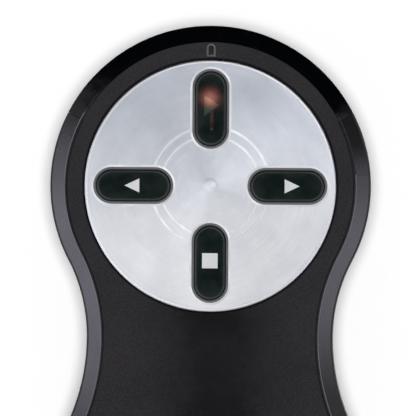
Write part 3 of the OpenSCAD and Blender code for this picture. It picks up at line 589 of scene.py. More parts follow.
def window_gloss():
    """Gloss black moulding. Its polish breaks up into specks at its ends, over a shorter way on the right."""
    mat, g, b = new_material("gloss_black")
    x, y = g.plan()
    shorter = g.times(g.math("GREATER_THAN", x, 0.0), math.radians(-19))
    last = g.plus(shorter, math.radians(WINDOW_ANGLE + 25))
    ends = g.ramp(g.head_angle(x, y), math.radians(WINDOW_ANGLE), last, 1.0, 0.0, smooth=False)
    grain = g.minus(g.plus(g.noise(0.35, 3.0, 0.7), g.noise(1.6, 2.0, stretch=(1, 1, 0.3))), 1.0)
    speckled = g.ramp(g.plus(ends, g.times(grain, 0.8)), 0.1, 0.95, smooth=False)
    rough = g.plus(g.times(speckled, 0.36), g.vary(g.noise(4.0), 0.05, 0.09))
    g.feed(b, {"Base Color": g.mix(speckled, rgb(0.0010, 0.0014, 0.0018), rgb(0.0140, 0.0128, 0.0150)),
               "Roughness": rough, "Normal": g.bump(g.noise(3.0), 0.004, 0.3), "Specular IOR Level": 0.3})
    return mat


def spun_metal():
    """Clear-anodised aluminium, brushed in circles round the disc's centre, with painted light: lighter
    toward the bottom and the right, with painted shade in a patch right of the laser key and in a crescent
    above the punched mark.
    """
    mat, g, b = new_material("brushed_disc")
    x, y = g.plan()
    v = g.minus(y, HEAD_Y * MM)
    radius = g.length(x, v)
    c, s = g.over(x, radius), g.over(v, radius)

    def rings(width, spread, **options):
        """Noise drawn out round the centre, in rings that are width millimetres wide."""
        at = g.join(g.over(radius, width * MM), g.times(c, spread), g.times(s, spread))
        return g.add("ShaderNodeTexNoise", {"Vector": at, "Scale": 1.0, **options}).outputs["Fac"]

    lines = rings(0.09, 2.2, Detail=3.0, Roughness=0.7)
    sweep = rings(9, 1.7, Detail=2.0)
    # painted light: the metal is lighter toward the bottom, and darker and bluer toward the top
    tint_and_painted_light = g.mix(g.ramp(v, 15 * MM, -13 * MM), rgb(0.68, 0.715, 0.785), rgb(0.935, 0.94, 0.97))
    cloud = g.ramp(g.noise(4.5, 3.0, 0.6), 0.35, 0.65, 0.965, 1.035)
    # painted light: lighter toward the right; the cloud is random tone
    light = g.times(g.ramp(x, -14 * MM, 14 * MM, 0.95, 1.05), cloud)
    # painted shade: a darker patch right of the laser key
    spot = g.fading(g.plus(g.squared(x, 5.2, 3.4), g.squared(v, 12.6, 3.0)))
    # painted shade: these two lines make a dark crescent on the upper side of the punched mark, where its
    # hollow is shaded
    behind = g.ramp(g.math("MULTIPLY_ADD", x, 0.4, v), -0.1 * MM, 0.7 * MM)
    punched = g.times(g.fading(g.squared(radius, 0.85, 0.2)), behind)    # a dark crescent round the mark
    light = g.minus(g.minus(light, g.times(spot, 0.17)), g.times(punched, 0.2))
    tone = g.vary(g.plus(g.times(lines, 0.5), g.times(sweep, 0.5)), 0.93, 1.06)
    dents = g.times(g.noise(0.32, 2.0, 0.6), g.ramp(radius, 0.5 * MM, 0.95 * MM, 1.0, 0.0))
    g.feed(b, {"Base Color": g.dimmed(tint_and_painted_light, g.times(light, tone)),
               "Roughness": g.ramp(lines, 0.25, 0.75, 0.33, 0.39),
               "Normal": g.bump(dents, 0.05, 1.0, g.bump(lines, 0.0012, 0.5)),
               "Metallic": 1.0, "Anisotropic": 0.6, "Anisotropic Rotation": 0.25,
               "Tangent": g.add("ShaderNodeTangent", direction_type="RADIAL", axis="Z").outputs[0]})
    return mat


def red_glow(g, b, colour):
    """The laser's indicator, as a painted red glow that the key's own surface gives off, as if shining
    through from under the key: strongest over its spot, gone 2 mm away.
    """
    x, y = g.plan()
    far = g.plus(g.squared(x, GLOW_AT[0], GLOW_R), g.squared(y, GLOW_AT[1], GLOW_R))
    soft = g.times(g.fading(far, 0.5), g.vary(g.noise(0.5, 2.0), 0.92, 1.08))
    outskirts = rgb(colour[0] * 1.03, colour[1] * 0.82, colour[2] * 0.8)
    hue = g.mix(g.ramp(soft, 0.25, 0.95), outskirts, colour)
    g.feed(b, {"Emission Color": g.mix(soft, rgb(0, 0, 0), hue), "Emission Strength": 1.0})


def key_gloss(name, glow=False):
    """Dark green-black gloss. The laser key has a painted red glow round its spot."""
    mat, g, b = new_material(name)
    cloud = g.noise(2.4, 3.0, 0.6)
    g.feed(b, {"Base Color": g.mix(g.vary(cloud), rgb(0.0021, 0.0073, 0.0058), rgb(0.0032, 0.0098, 0.0079)),
               "Roughness": g.vary(cloud, 0.16, 0.22), "Normal": g.bump(g.noise(0.5, 2.0), 0.002, 0.4),
               "Specular IOR Level": 0.45})
    if glow:
        red_glow(g, b, rgb(0.35, 0.132, 0.110))
    return mat


def film(name, colour, glow):
    """A see-through ink in the laser key, which carries the indicator's painted glow too."""
    mat = plain(name, colour, 0.22, grain=0.14, depth=0.002, mottle=0.14)
    red_glow(*nodes_of(mat), glow)
    return mat


def cell_foil():
    """A plain foil sleeve: graphite, with copper at its positive end and a thin pale ring between them."""
    mat = plain("cell_label", rgb(0.5, 0.5, 0.5), 0.26, 0.75, grain=0.6, rough_vary=0.05)
    g, b = nodes_of(mat)
    x, y = g.plan()
    left = g.over(g.minus(y, LEFT_CELL_Y * MM), CELL_L * MM)
    right = g.over(g.minus(RIGHT_CELL_Y * MM, y), CELL_L * MM)
    share = g.by_side(x, left, right)
    scuffs = g.vary(g.noise(2.5, 4.0, 0.7, stretch=(1, 0.3, 1)), 0.85, 1.12)
    graphite, copper, pale = rgb(0.035, 0.038, 0.045), rgb(0.42, 0.19, 0.085), rgb(0.55, 0.55, 0.56)
    ring = g.times(g.math("GREATER_THAN", share, 0.695), g.math("LESS_THAN", share, 0.715))
    colour = g.mix(ring, g.mix(g.math("GREATER_THAN", share, 0.705), graphite, copper), pale)
    g.put(b.inputs["Base Color"], g.dimmed(colour, scuffs))
    return mat


PLAIN = {                                    # colour, roughness and what else differs from plain's defaults
    "legend_white": ((0.72, 0.725, 0.715), 0.35, dict(grain=0.12, depth=0.003, mottle=0.05)),
    "legend_red": ((0.16, 0.03, 0.03), 0.3, dict(grain=0.2, depth=0.002)),
    "clear_lens": ((0.25, 0.27, 0.28), 0.12, dict(grain=0.8, rough_vary=0.04)),
    "adhesive": ((0.75, 0.75, 0.72), 0.7, dict(grain=0.3, depth=0.02)),
    "led_body": ((0.85, 0.82, 0.66), 0.3, dict(grain=0.4, depth=0.003)),
    "white_plastic": ((0.72, 0.72, 0.69), 0.42, dict(grain=0.3)),
    "switch_black": ((0.018, 0.018, 0.02), 0.5, dict(grain=0.2, depth=0.008)),
    "steel": ((0.56, 0.56, 0.57), 0.3, dict(metallic=1.0, grain=0.12, stretch=(1, 1, 0.08))),
    "screw_black": ((0.10, 0.10, 0.105), 0.34, dict(metallic=1.0, grain=0.15)),
    "board_green": ((0.015, 0.13, 0.055), 0.32, dict(grain=0.7, depth=0.01, mottle=0.3, coat=0.3)),
    "chip_black": ((0.014, 0.014, 0.015), 0.55, dict(grain=0.12, depth=0.006)),
    "brass": ((0.70, 0.48, 0.17), 0.24, dict(metallic=1.0, grain=0.1, stretch=(0.1, 1, 0.1))),
    "gold": ((0.85, 0.60, 0.25), 0.2, dict(metallic=1.0, grain=0.3)),
    "receiver_plastic": ((0.016, 0.0155, 0.0175), 0.42, dict(grain=0.28, depth=0.01)),
    "usb_steel": ((0.62, 0.62, 0.63), 0.26, dict(metallic=1.0, grain=0.1, stretch=(1, 0.06, 1))),
    "usb_white": ((0.78, 0.78, 0.76), 0.35, dict(grain=0.3)),
}
SLOTS = {name: plain(name, rgb(*colour), rough, **look) for name, (colour, rough, look) in PLAIN.items()}
SLOTS.update(charcoal_plastic=charcoal("charcoal_plastic", 0.24), gloss_black=window_gloss(),
             brushed_disc=spun_metal(), key_plastic=key_gloss("key_plastic"), cell_label=cell_foil())

CHARCOAL_BEVEL = charcoal("charcoal_bevel", 1.0, 0.08)
BEVEL_END = bevel_end()
SLOT_EDGE = plain("slot_edge_metal", rgb(0.70, 0.71, 0.735), 0.34, 1.0, grain=0.1, depth=0.001, mottle=0.04)
KNOB = plain("knob_gloss", rgb(0.0075, 0.0078, 0.0085), 0.26, mottle=0.2)
LASER_GLASS = plain("laser_glass", rgb(0.045, 0.006, 0.006), 0.06, grain=1.0, depth=0.002, rough_vary=0.02,
                    coat=1.0)
# painted shade: the bezels' metal is far darker than the disc's, standing in for shade on the slope down to
# the key
BEZEL = plain("bezel_metal_painted_shade", rgb(0.17, 0.17, 0.175), 0.42, 1.0, grain=0.1, depth=0.002)
# painted highlight: the light grey of the thin line where the bevel meets the top
EDGE_HIGHLIGHT = plain("painted_edge_highlight", rgb(0.125, 0.122, 0.138), 0.35, grain=0.2, mottle=0.2)
FROSTED = plain("frosted_lens", rgb(0.10, 0.102, 0.105), 0.3, depth=0.006, mottle=0.35)
SMOKE = plain("smoked_lens", rgb(0.014, 0.015, 0.016), 0.3, grain=0.3, mottle=0.4)
LASER_PAINT = {"pointer": film("pointer_film", rgb(0.015, 0.042, 0.033), rgb(0.47, 0.205, 0.13)),
               "beam": film("beam_film", rgb(0.023, 0.0060, 0.0080), rgb(0.38, 0.20, 0.17)),
               "beam_end": film("beam_end_film", rgb(0.038, 0.036, 0.037), rgb(0, 0, 0))}

for part in frame["record"]["subparts"]:
    node = frame["nodes"][part["node"]]
    for place in node.material_slots:
        place.material = SLOTS[part["material_slot"]]

# -------- camera, light and floor


def aim(obj, to, roll=0.0):
    """Points an object's -Z axis at a place, with +Y up in its view, then rolls it."""
    way = (Vector(to) - obj.location).normalized()
    side = way.cross(Vector((0, 1, 0))).normalized()
    up = side.cross(way)
    turn = Matrix((side, up, -way)).transposed().to_4x4()
    obj.rotation_euler = (turn @ Matrix.Rotation(math.radians(roll), 4, "Z")).to_euler()


cam_data = bpy.data.cameras.new("camera")
cam = new_object("camera", cam_data)
scene.camera = cam
VIEW_AT = Vector((-0.29, 29.1, TOP)) * MM
VIEW_FAR, VIEW_TILT, VIEW_WIDE = 2.0, math.radians(0.8), 54.5 * MM
cam.location = VIEW_AT + VIEW_FAR * Vector((math.sin(VIEW_TILT), 0, math.cos(VIEW_TILT)))
aim(cam, VIEW_AT, roll=0.35)
SENSOR = 36
cam_data.sensor_width = SENSOR
cam_data.lens = SENSOR * VIEW_FAR / VIEW_WIDE
cam_data.clip_start, cam_data.clip_end = 0.05, 20

FLOOR_HALF, FLOOR_Z = 4000, -0.01
corners = [(x * FLOOR_HALF, y * FLOOR_HALF, FLOOR_Z) for x, y in ((-1, -1), (1, -1), (1, 1), (-1, 1))]
floor = solid("floor", corners, [(0, 1, 2, 3)])
paper = plain("paper", rgb(0.14, 0.14, 0.14), 0.9, grain=0.5, depth=0.002, mottle=0.01, specular=0.1)
floor.data.materials.append(paper)

# The paper has a lamp of its own, as in a studio that keeps its ground white behind a dark object
lamp = bpy.data.lights.new("paper_lamp", "SUN")
lamp.energy, lamp.angle = 20.2, math.radians(9.5)
paper_lamp = new_object("paper_lamp", lamp)
paper_lamp.rotation_euler = cam.rotation_euler
lit = bpy.data.collections.new("paper_only")
lit.objects.link(floor)
paper_lamp.light_linking.receiver_collection = lit

world = bpy.data.worlds.new("studio")
scene.world = world
world.use_nodes = True
sky = Graph(world.node_tree)
background = world.node_tree.nodes["Background"]
wx, wy, wz = sky.split(sky.add("ShaderNodeTexCoord").outputs["Generated"])


def band(value, low, rise, fall, high):
    """1 between rise and fall, fading to 0 at low and high."""
    return sky.times(sky.ramp(value, low, rise), sky.ramp(value, fall, high, 1.0, 0.0))


across = sky.math("MAXIMUM", sky.length(wx, wy), 0.001)
east, north = sky.over(wx, across), sky.over(wy, across)
twist = sky.plus(1.0, sky.times(sky.times(east, north), 0.4))
ring_light = sky.times(sky.times(band(wz, 0.60, 0.74, 0.975, 0.99), 1.24), twist)
toward_left = sky.minus(sky.times(north, -0.25), east)
toward_right = sky.plus(sky.times(north, -0.5), east)
low_box = band(wz, 0.16, 0.27, 0.44, 0.56)
left_box = sky.times(sky.times(low_box, sky.ramp(toward_left, 0.76, 0.94)), 2.6)
right_box = sky.times(sky.times(low_box, sky.ramp(toward_right, 0.92, 1.04)), 2.0)
behind_box = sky.times(sky.times(band(wz, 0.02, 0.1, 0.4, 0.5), sky.ramp(north, -0.5, -0.8)), 0.8)
dim = sky.times(sky.ramp(wz, 0.9, 0.6), sky.ramp(north, 0.3, -0.1, 0.01, 0.12))
boxes = sky.plus(left_box, right_box)
sky.feed(background, {
    "Strength": sky.plus(sky.plus(ring_light, dim), sky.plus(boxes, behind_box)),
    "Color": sky.mix(sky.ramp(boxes, 0.0, 1.0), rgb(0.98, 0.985, 1.0), rgb(0.92, 0.91, 1.09))})

scene.view_settings.view_transform = "Standard"
scene.view_settings.look = "None"
scene.view_settings.exposure = 0.0

# -------- shells

BEVEL_Z, LIP = TOP - BEVEL_DROP, DRAFT + BEVEL_IN
GROOVE_Z, INNER_Z = TOP - 0.2, TOP - 0.04    # the fine groove inside the bevel, and the flat inside that
SIDE = [(0.16, SPLIT + 0.01, 0), (0.0, SPLIT + 0.17, 0.1)]
SHELL_PROFILE = rounded(SIDE + [
    (0.0, BEVEL_Z - 0.3, 0.1), (DRAFT, BEVEL_Z, 0.1), (LIP, TOP, 0.09), (LIP + 0.2, TOP, 0.05),
    (LIP + 0.26, GROOVE_Z, 0.04), (LIP + 0.36, GROOVE_Z, 0.04), (LIP + 0.46, INNER_Z, 0.05),
    (LIP + 0.8, INNER_Z, 0)])
WINDOW_PROFILE = rounded(SIDE + [
    (0.0, BEVEL_Z - 0.2, 0.05), (DRAFT, BEVEL_Z, 0.05), (LIP, TOP, 0), (LIP + 1.0, TOP, 0)])


def upper_shell():
    """The upper housing, hollow, with its screw bosses and everything that opens into it."""
    inside = prism(outline(WALL), 6, ROOF)
    bosses = [rod(BOSS_R, BOARD_TOP, ROOF + 1, at) for at in SCREWS]
    bay_half, bay_z = RECV_HALF + RECV_GAP, RECV_MID - RECV_H / 2 - RECV_GAP
    bay_walls = slab(bay_half + RECV_WALL, BEHIND, RECV_STOP + RECV_WALL, bay_z - RECV_WALL, ABOVE)
    inside = cut(inside, *bosses, bay_walls)
    nose_wall = cut(head_rod(HEAD_R + 2, z1=31, n=128), head_rod(NOSE_R, 3, n=128))
    inside = cut(inside, cross(sector(WINDOW_ANGLE - 3, z1=30), nose_wall))
    shell = cut(crown(SHELL_PROFILE), inside)
    shell = cut(shell, cut(sector(WINDOW_ANGLE - 0.15), head_rod(HEAD_R - WINDOW_T - 0.05)))
    filler = cut(prism(outline(WINDOW_T + 0.06), TOP - 0.6, INNER_Z), prism(outline(3), TOP - 2, TOP + 2))
    shell = join(shell, cross(filler, sector(WINDOW_ANGLE)))    # no groove behind the window
    shell = cut(shell, slab(bay_half, BEHIND, RECV_STOP, bay_z, bay_z + RECV_H + 2 * RECV_GAP))
    r = DISC_R + DISC_GAP
    recess = [(r, DECK), (r, TOP - 0.16), (r + 0.12, INNER_Z), (r + 0.9, TOP + 1)]
    recess = cut(turned(recess, 256, (0, HEAD_Y, 0)), *key_cuts([(COLLAR, DECK - 1), (COLLAR, BEZEL_Z)]))
    shell = cut(shell, recess, prism(arch(0.06), 21, ABOVE), *key_cuts([(HOLE, ROOF - 1), (HOLE, ABOVE)]))
    shell = cut(shell, beam_rod(2.35))
    gap, half, past = KNOB_GAP, KNOB_GAP / 2, KNOB_TRAVEL + KNOB_GAP
    pocket = slab(5.5, KNOB_Y - gap, KNOB_Y + KNOB_L + past, KNOB_Z - gap, KNOB_Z + KNOB_H + gap, x=-25.4)
    stem_way = slab(3, STEM_Y - gap, STEM_Y + STEM_L + past, STEM_Z - half, STEM_Z + STEM_H + half, x=-21.9)
    return cut(shell, pocket, stem_way, thumb_notch())


def thumb_notch():
    """What the notch over the receiver takes away, with its rounded upper edge."""
    r, z, edge_r = 7, 25.2, 0.7
    edge = [(r + edge_r * (1 - cos(a)), z + edge_r * sin(a)) for a in (20, 40, 60, 80)]
    return turned([(r, 22.8), (r, z)] + edge + [(7.7, 25.96), (7.9, ABOVE)], 128, (0, -57.5, 0))


def belly_solid(t, top, chamfer=0.0):
    """The lower body up to top. t is 0 on the wall's outside and 1 on its inside."""
    rings = [belly_ring(90 - 3.75 * i, t) for i in range(25)]
    if chamfer:
        rings[-1] = [(x, y, SPLIT - 0.17) for x, y in outline(WALL * t)]
        rings.append(flat_ring(chamfer, SPLIT - 0.01))
    elif top > SPLIT:
        rings.append(flat_ring(WALL * t, top))
    return skin(rings)


def lower_shell():
    """The lower housing with the cells' tray, the door's rails and the screw posts."""
    shell = cut(belly_solid(0, SPLIT, 0.16), belly_solid(1, SPLIT + 5))
    tray = slab(BAY_HALF + BAY_WALL, BAY_BACK - BAY_WALL, BAY_FRONT + BAY_WALL, -1, BAY_TOP + BAY_ROOF)
    tongue_half = DOOR_HALF + TONGUE_OUT
    rails = slab(tongue_half + RAIL_W, TAIL_Y + 0.2, DOOR_FRONT + BAY_WALL, -1, DOOR_TOP + RAIL_H)
    shell = join(shell, cross(join(tray, rails), belly_solid(0.5, BOARD_Z)))
    for at in SCREWS:
        shell = join(shell, cross(rod(POST_R, -1, BOARD_Z, at), belly_solid(0.5, BOARD_Z)))
    gap = DOOR_GAP
    bay = slab(BAY_HALF, BAY_BACK, BAY_FRONT, BELOW, BAY_TOP)
    door_way = slab(DOOR_HALF + gap, BEHIND, DOOR_FRONT + gap, BELOW, DOOR_TOP + gap)
    tongue_way = slab(tongue_half + gap, BEHIND, DOOR_FRONT + gap, TONGUE_Z - gap, DOOR_TOP + gap)
    shell = cut(shell, bay, door_way, tongue_way)
    for at in SCREWS:
        shell = cut(shell, rod(WELL_R, BELOW, SCREW_SEAT, at), rod(SHANK_HOLE_R, 5, ABOVE, at, 32))
    return shell


def battery_cover():
    """The battery door: its rims, tongues and front edge, its ribs under the cells and its grip grooves."""
    blank = slab(DOOR_HALF, BEHIND, DOOR_FRONT, BELOW, DOOR_TOP)
    skin_only = cut(blank, belly_solid(1, SPLIT + 5))
    rims = slab(DOOR_HALF, BEHIND, DOOR_FRONT, BELOW, DOOR_TOP)
    rims = join(rims, slab(DOOR_HALF + TONGUE_OUT, BEHIND, DOOR_FRONT, TONGUE_Z, DOOR_TOP))
    rims = cut(rims, slab(DOOR_HALF - DOOR_RIM, -70, 15, -6, ABOVE))
    cover = join(skin_only, rims, slab(DOOR_HALF, BAY_FRONT + BAY_WALL, DOOR_FRONT, BELOW, RIB_TOP))
    for y in RIBS_Y:
        cover = join(cover, slab(RIB_HALF, y, y + RIB_T, -1, RIB_TOP))
    cover = cross(cover, belly_solid(0, SPLIT))
    count, half_l, r, front, pitch = 5, 6.3, 0.72, 4.85, 1.8
    return cut(cover, *[groove_x(half_l, r, front - pitch * i, -0.06) for i in range(count)])


def window_piece():
    """The gloss black nose, with the beam's way through it and the seat of its lens."""
    body = cross(crown(WINDOW_PROFILE), sector(WINDOW_ANGLE))
    return cut(body, head_rod(HEAD_R - WINDOW_T), beam_rod(1.45), beam_rod(LENS_R + 0.05, LENS_BACK))


def disc_piece():
    """The brushed disc, with the mark punched in its middle and room for its bright rim and slot edges."""
    top, r = DISC_TOP, DISC_R
    disc = [(0.0, DISC_Z), (r, DISC_Z), (r, 25.94), (r - 0.4, 25.95), (r - 0.42, top), (0.0, top)]
    mark = rod(0.66, -0.065, 1, n=48)
    tilt = Matrix.Rotation(math.radians(5), 4, Vector((1, 1, 0)))
    mark.data.transform(Matrix.Translation(Vector((0, HEAD_Y, top)) * MM) @ tilt)
    slots = key_cuts([(SLOT, DISC_Z - 1), (SLOT, top - 0.26), (EDGE_OUT, top - 0.25), (EDGE_OUT, top + 1)])
    return cut(turned(disc, 256, (0, HEAD_Y, 0)), mark, *slots)


def slot_edge(angle):
    """The diamond-cut edge of one of the disc's slots, which slopes down to the key."""
    foot, outer = 25.96, EDGE_OUT + 0.06
    profile = [(EDGE_IN, foot), (EDGE_IN, 26.1), (EDGE_OUT, DISC_TOP - 0.001), (outer, 26.19), (outer, foot)]
    return hoop(key_rings(angle, profile))


def ring_lines():
    """The polished parts of the disc: its outer rim and the two beads round its middle."""
    bead = [(-0.26, 26.1), (-0.26, 26.17), (0.0, 26.25), (0.26, 26.17), (0.26, 26.1)]
    rim = [(-0.44, 25.9), (-0.44, 26.19), (-0.4, 26.21), (-0.3, 26.2), (-0.12, 26.14), (-0.04, 26.08),
           (0.0, 26.0), (0.0, 25.9)]
    lines = []
    for r, shape in [(r, bead) for r in BEADS_R] + [(DISC_R, rim)]:
        edges = [(r + d, z) for d, z in shape]
        rings = [[(e * math.cos(a), HEAD_Y + e * math.sin(a), z) for a in circle(192)] for e, z in edges]
        lines.append(hoop(rings))
    return cut(join(*lines), *key_cuts([(EDGE_OUT - 0.02, 25), (EDGE_OUT - 0.02, 28)]))


def key_piece(name, angle):
    """A key cap: its flange under the housing, a small round edge and a top that crowns to the middle."""
    edge_r, crown_h, crown_steps, blunt = 0.16, 0.05, 12, 0.05
    out, side_top = 2 * FLANGE_OUT, KEY_TOP - crown_h - edge_r
    flange = [(out - 2 * blunt, FLANGE_Z), (out, FLANGE_Z + blunt), (out, FLANGE_TOP - blunt),
              (out - 2 * blunt, FLANGE_TOP), (0.0, FLANGE_TOP)]
    edge = [(-2 * edge_r * (1 - cos(a)), side_top + edge_r * sin(a)) for a in range(0, 76, 15)]
    reach = (KEY_W - 2 * edge_r) * 0.99
    shares = [k / crown_steps for k in range(1, crown_steps + 1)]
    crown_rings = [(-2 * edge_r - reach * share, KEY_TOP - crown_h * (1 - share) ** 2) for share in shares]
    key = slot_cut(angle, flange + edge + crown_rings)
    shapes = LASER_SYMBOL if name == "laser" else [name]
    return cut(key, *[symbol_solid(shape, angle, KEY_TOP - SYMBOL_T, KEY_TOP + 1) for shape in shapes])


# The symbols, with the key's outward direction along X and the key's middle at the origin
SYMBOLS = {
    "stop": [(-1.28, -1.02), (0.7, -1.02), (0.7, 1.02), (-1.28, 1.02)],
    "next": [(1.6, 0), (-0.36, 0.92), (-0.36, -0.92)],
    "back": [(1.16, 0), (-0.8, 0.92), (-0.8, -0.92)],
    "pointer": [(1.78, 0.84), (0.49, -1.09), (-0.98, 0.84)],
    "beam": [(-2.5, -0.37), (-0.1, -0.37), (-0.48, 0.13), (-2.5, 0.13)],
    "beam_end": arc((-2.62, -0.12), 0.24, 60, 300, 18) + arc((-2.62, -0.12), 0.24, 300, 301, 1),
}
LASER_SYMBOL = ["pointer", "beam", "beam_end"]


def symbol_solid(name, angle, z0, z1):
    return prism(at_key(angle, [(KEY_C + x, y) for x, y in SYMBOLS[name]]), z0, z1)


def bezel_piece(angle):
    """The rolled metal lip between a key's opening and the disc. Its metal is darker than the disc's: painted
    shade, added to what its slope reflects.
    """
    outer = EDGE_IN - 0.01
    ring = slot_cut(angle, [(COLLAR, BEZEL_Z), (COLLAR, 25.955), (outer, 25.96), (outer, 26.02)])
    slope = [(0.14, BEZEL_Z - 1), (0.14, 25.94), (0.22, 25.99), (0.34, 26.01), (0.76, 26.012), (0.76, 27)]
    return cut(ring, slot_cut(angle, slope))


def edge_line():
    """The line where the bevel meets the top, lighter grey as a painted highlight. It stops at the window,
    and sooner on the right.
    """
    r = 0.07
    line = hoop([flat_ring(LIP + 0.03 + r * cos(a), TOP - 0.045 + r * sin(a)) for a in range(0, 360, 45)])
    right_end = slab(10, HEAD_Y + 1.6, HEAD_Y + 30, 20, 30, x=HEAD_R)
    return cut(line, sector(WINDOW_ANGLE + 3), right_end)


def knob_piece():
    """The power knob: a grooved pad that follows the head's side, on a stem through the wall."""
    pad = slab(1.0, KNOB_Y, KNOB_Y + KNOB_L, KNOB_Z, KNOB_Z + KNOB_H, x=-20.95)
    pad = cross(pad, head_rod(HEAD_R - DRAFT, 10, 30))
    middle, pitch, half = KNOB_Y + KNOB_L / 2, 1.5, 0.3
    for y in (middle - pitch, middle, middle + pitch):
        pad = cut(pad, slab(0.6, y - half, y + half, 10, 30, x=-21.02))
    return join(eased(pad, 0.14, 2, 50), slab(1.6, STEM_Y, STEM_Y + STEM_L, STEM_Z, STEM_Z + STEM_H, x=-18.5))


def aperture_lens():
    """The small domed lens in the nose, turned about the beam."""
    rim_y, dome_h, blunt = 52.15, 0.35, 0.1
    back = [(0.0, LENS_BACK), (LENS_R - blunt, LENS_BACK), (LENS_R, LENS_BACK + blunt)]
    dome = [(LENS_R * sin(a), rim_y + dome_h * cos(a)) for a in range(90, 0, -15)]
    return turned(back + dome + [(0.0, rim_y + dome_h)], 96, (0, 0, LASER_Z), "Y")


def screw(x, y):
    """A pan-head screw with a cross in its head, which faces down."""
    r, root_r, half_pitch, thread_z = SCREW_R, 0.68, 0.3, 7.2
    head = [(0.0, 5.0), (0.8, 5.02), (1.35, 5.12), (1.7, 5.32), (1.86, 5.6), (1.9, 5.9), (1.9, 6.4),
            (1.84, SCREW_SEAT), (r, SCREW_SEAT)]
    thread = [(r if i % 2 else root_r, thread_z + half_pitch * i) for i in range(50)]
    body = turned(head + [(r, 6.9)] + thread + [(0.5, 22.6), (0.0, 22.9)], 32, (x, y, 0))
    long, half_w = 1.2, 0.25
    arms = [slab(long, y - half_w, y + half_w, 4, 5.8, x=x), slab(half_w, y - long, y + long, 4, 5.8, x=x)]
    return cut(body, *[eased(arm, 0.08, 1) for arm in arms], rod(0.55, 4, 5.9, (x, y), 24))


def receiver_plan(d):
    """Outline of the receiver's covers, moved in by d: its free end follows the tail."""
    half, r, centre, front = RECV_HALF - d, TAIL_R - DRAFT - d, TAIL_Y + TAIL_R, RECV_FACE - d
    rear = [(x, y, 0) for x, y in arc((0, centre), r, 270, 270 + math.degrees(math.asin(half / r)), 10)]
    tail = centre - math.sqrt(r * r - half * half)
    right = rounded(rear + [(half, tail, 0.9 - d), (half, front, 1.0 - d), (0, front, 0)])
    return right + [(-x, y) for x, y in reversed(right[1:-1])]


def receiver_cover(upper):
    """One of the receiver's two covers, with its rounded edges, its hollow and the opening round the plug."""
    way, top, wall, edge_r, play = 1 if upper else -1, RECV_H / 2, 1, 0.5, 0.05
    fillet = [(edge_r * (1 - cos(a)), top - edge_r + edge_r * sin(a)) for a in range(0, 91, 15)]
    profile = [(0.1, 0.01), (0.0, 0.11)] + fillet
    rings = [[(x, y, RECV_MID + way * h) for x, y in receiver_plan(d)] for d, h in profile]
    hollow_z = sorted((RECV_MID - way, RECV_MID + way * (top - wall)))
    mouth_z = sorted((RECV_MID - way * 5, RECV_MID + way * (USB_H / 2 + play)))
    hollow = slab(RECV_HALF - wall, -50.55, RECV_FACE - wall, *hollow_z)
    mouth = slab(USB_W / 2 + play, RECV_FACE - 3, -5, *mouth_z)
    cover = cut(skin(rings, strips=False), hollow, mouth)
    if upper:
        cover = cut(cover, *[groove_x(4.55, 0.3, -51.7 + i, RECV_MID + top) for i in range(3)])
    return cover


def plug_shell():
    """The USB plug's steel shell, folded round its tongue, with two windows in each wide side."""
    def bar(*stations):
        """A rounded bar along Y: each station is (move in, y)."""
        rings = []
        for d, y in stations:
            shape = rounded_rect(USB_W / 2 - d, USB_H / 2 - d, 0.6 - d / 2)
            rings.append([(x, y, RECV_MID + z) for x, z in shape])
        return skin(rings, strips=False)
    back, tip, sheet = RECV_FACE - 5, RECV_FACE + 12, 0.3
    shell = bar((0.0, back), (0.0, tip - 0.12), (0.1, tip))
    inside = bar((sheet, back - 1), (sheet, tip - 0.25), (0.16, tip), (0.1, tip + 0.2))
    windows = [slab(1.25, tip - 6.8, tip - 4.8, RECV_MID - 5, RECV_MID + 5, x=x) for x in (-2.9, 2.9)]
    return cut(shell, inside, *windows)


def cell_parts(x, base, way):
    """A cell's foil sleeve, its positive end and its negative end, from its base toward way along Y."""
    sleeve = [(0, 0.1), (4.4, 0.1), (4.55, 0.02), (5.0, 0.0), (5.18, 0.1), (5.25, 0.35), (5.25, 42.6),
              (5.16, 42.95), (4.9, 43.15), (4.55, 43.2), (4.4, 43.1), (0, 43.1)]
    plus = [(0, 43.0), (4.45, 43.0), (4.45, 43.18), (3.3, 43.3), (2.4, 43.3), (2.0, 43.42), (1.89, 43.7),
            (1.89, 44.25), (1.7, CELL_L), (0, CELL_L)]
    minus = [(0, 0.04), (3.2, 0.04), (3.4, 0.09), (4.42, 0.09), (4.42, 0.4), (0, 0.4)]
    at = (x, base, CELL_Z)
    return [turned([(r, way * h) for r, h in shape], 96, at, "Y") for shape in (sleeve, plus, minus)]


def coil_spring(x, base, way):
    """A cone-shaped spring of round wire, its ends wound flat, from its base toward way along Y."""
    turns, wire, length, wide, steps = 3.5, 0.3, 4.8, 3.4, 126
    rings = []
    for i in range(steps + 1):
        share = i / steps
        a, r = 2 * math.pi * turns * share, wide - share
        climb = share * share * (3 - 2 * share)
        along = wire + (length - 2 * wire) * climb
        ring = []
        for b in circle(12):
            out, y = r + wire * math.cos(b), base + way * (along + wire * math.sin(b))
            ring.append((x + out * math.cos(a), y, CELL_Z + way * out * math.sin(a)))
        rings.append(ring)
    return skin(rings, strips=False)


def status_rim():
    """The status light's frame, and its foot under the roof."""
    rim = join(prism(arch(0), PIPE_FOOT + 0.5, TOP + 0.03), slab(0.85, 48.2, 50.6, PIPE_FOOT, ROOF - 0.1))
    return cut(rim, prism(arch(-0.5), TOP - 0.3, TOP + 1))


def status_core():
    return prism(arch(-0.52), TOP - 0.32, TOP - 0.12)


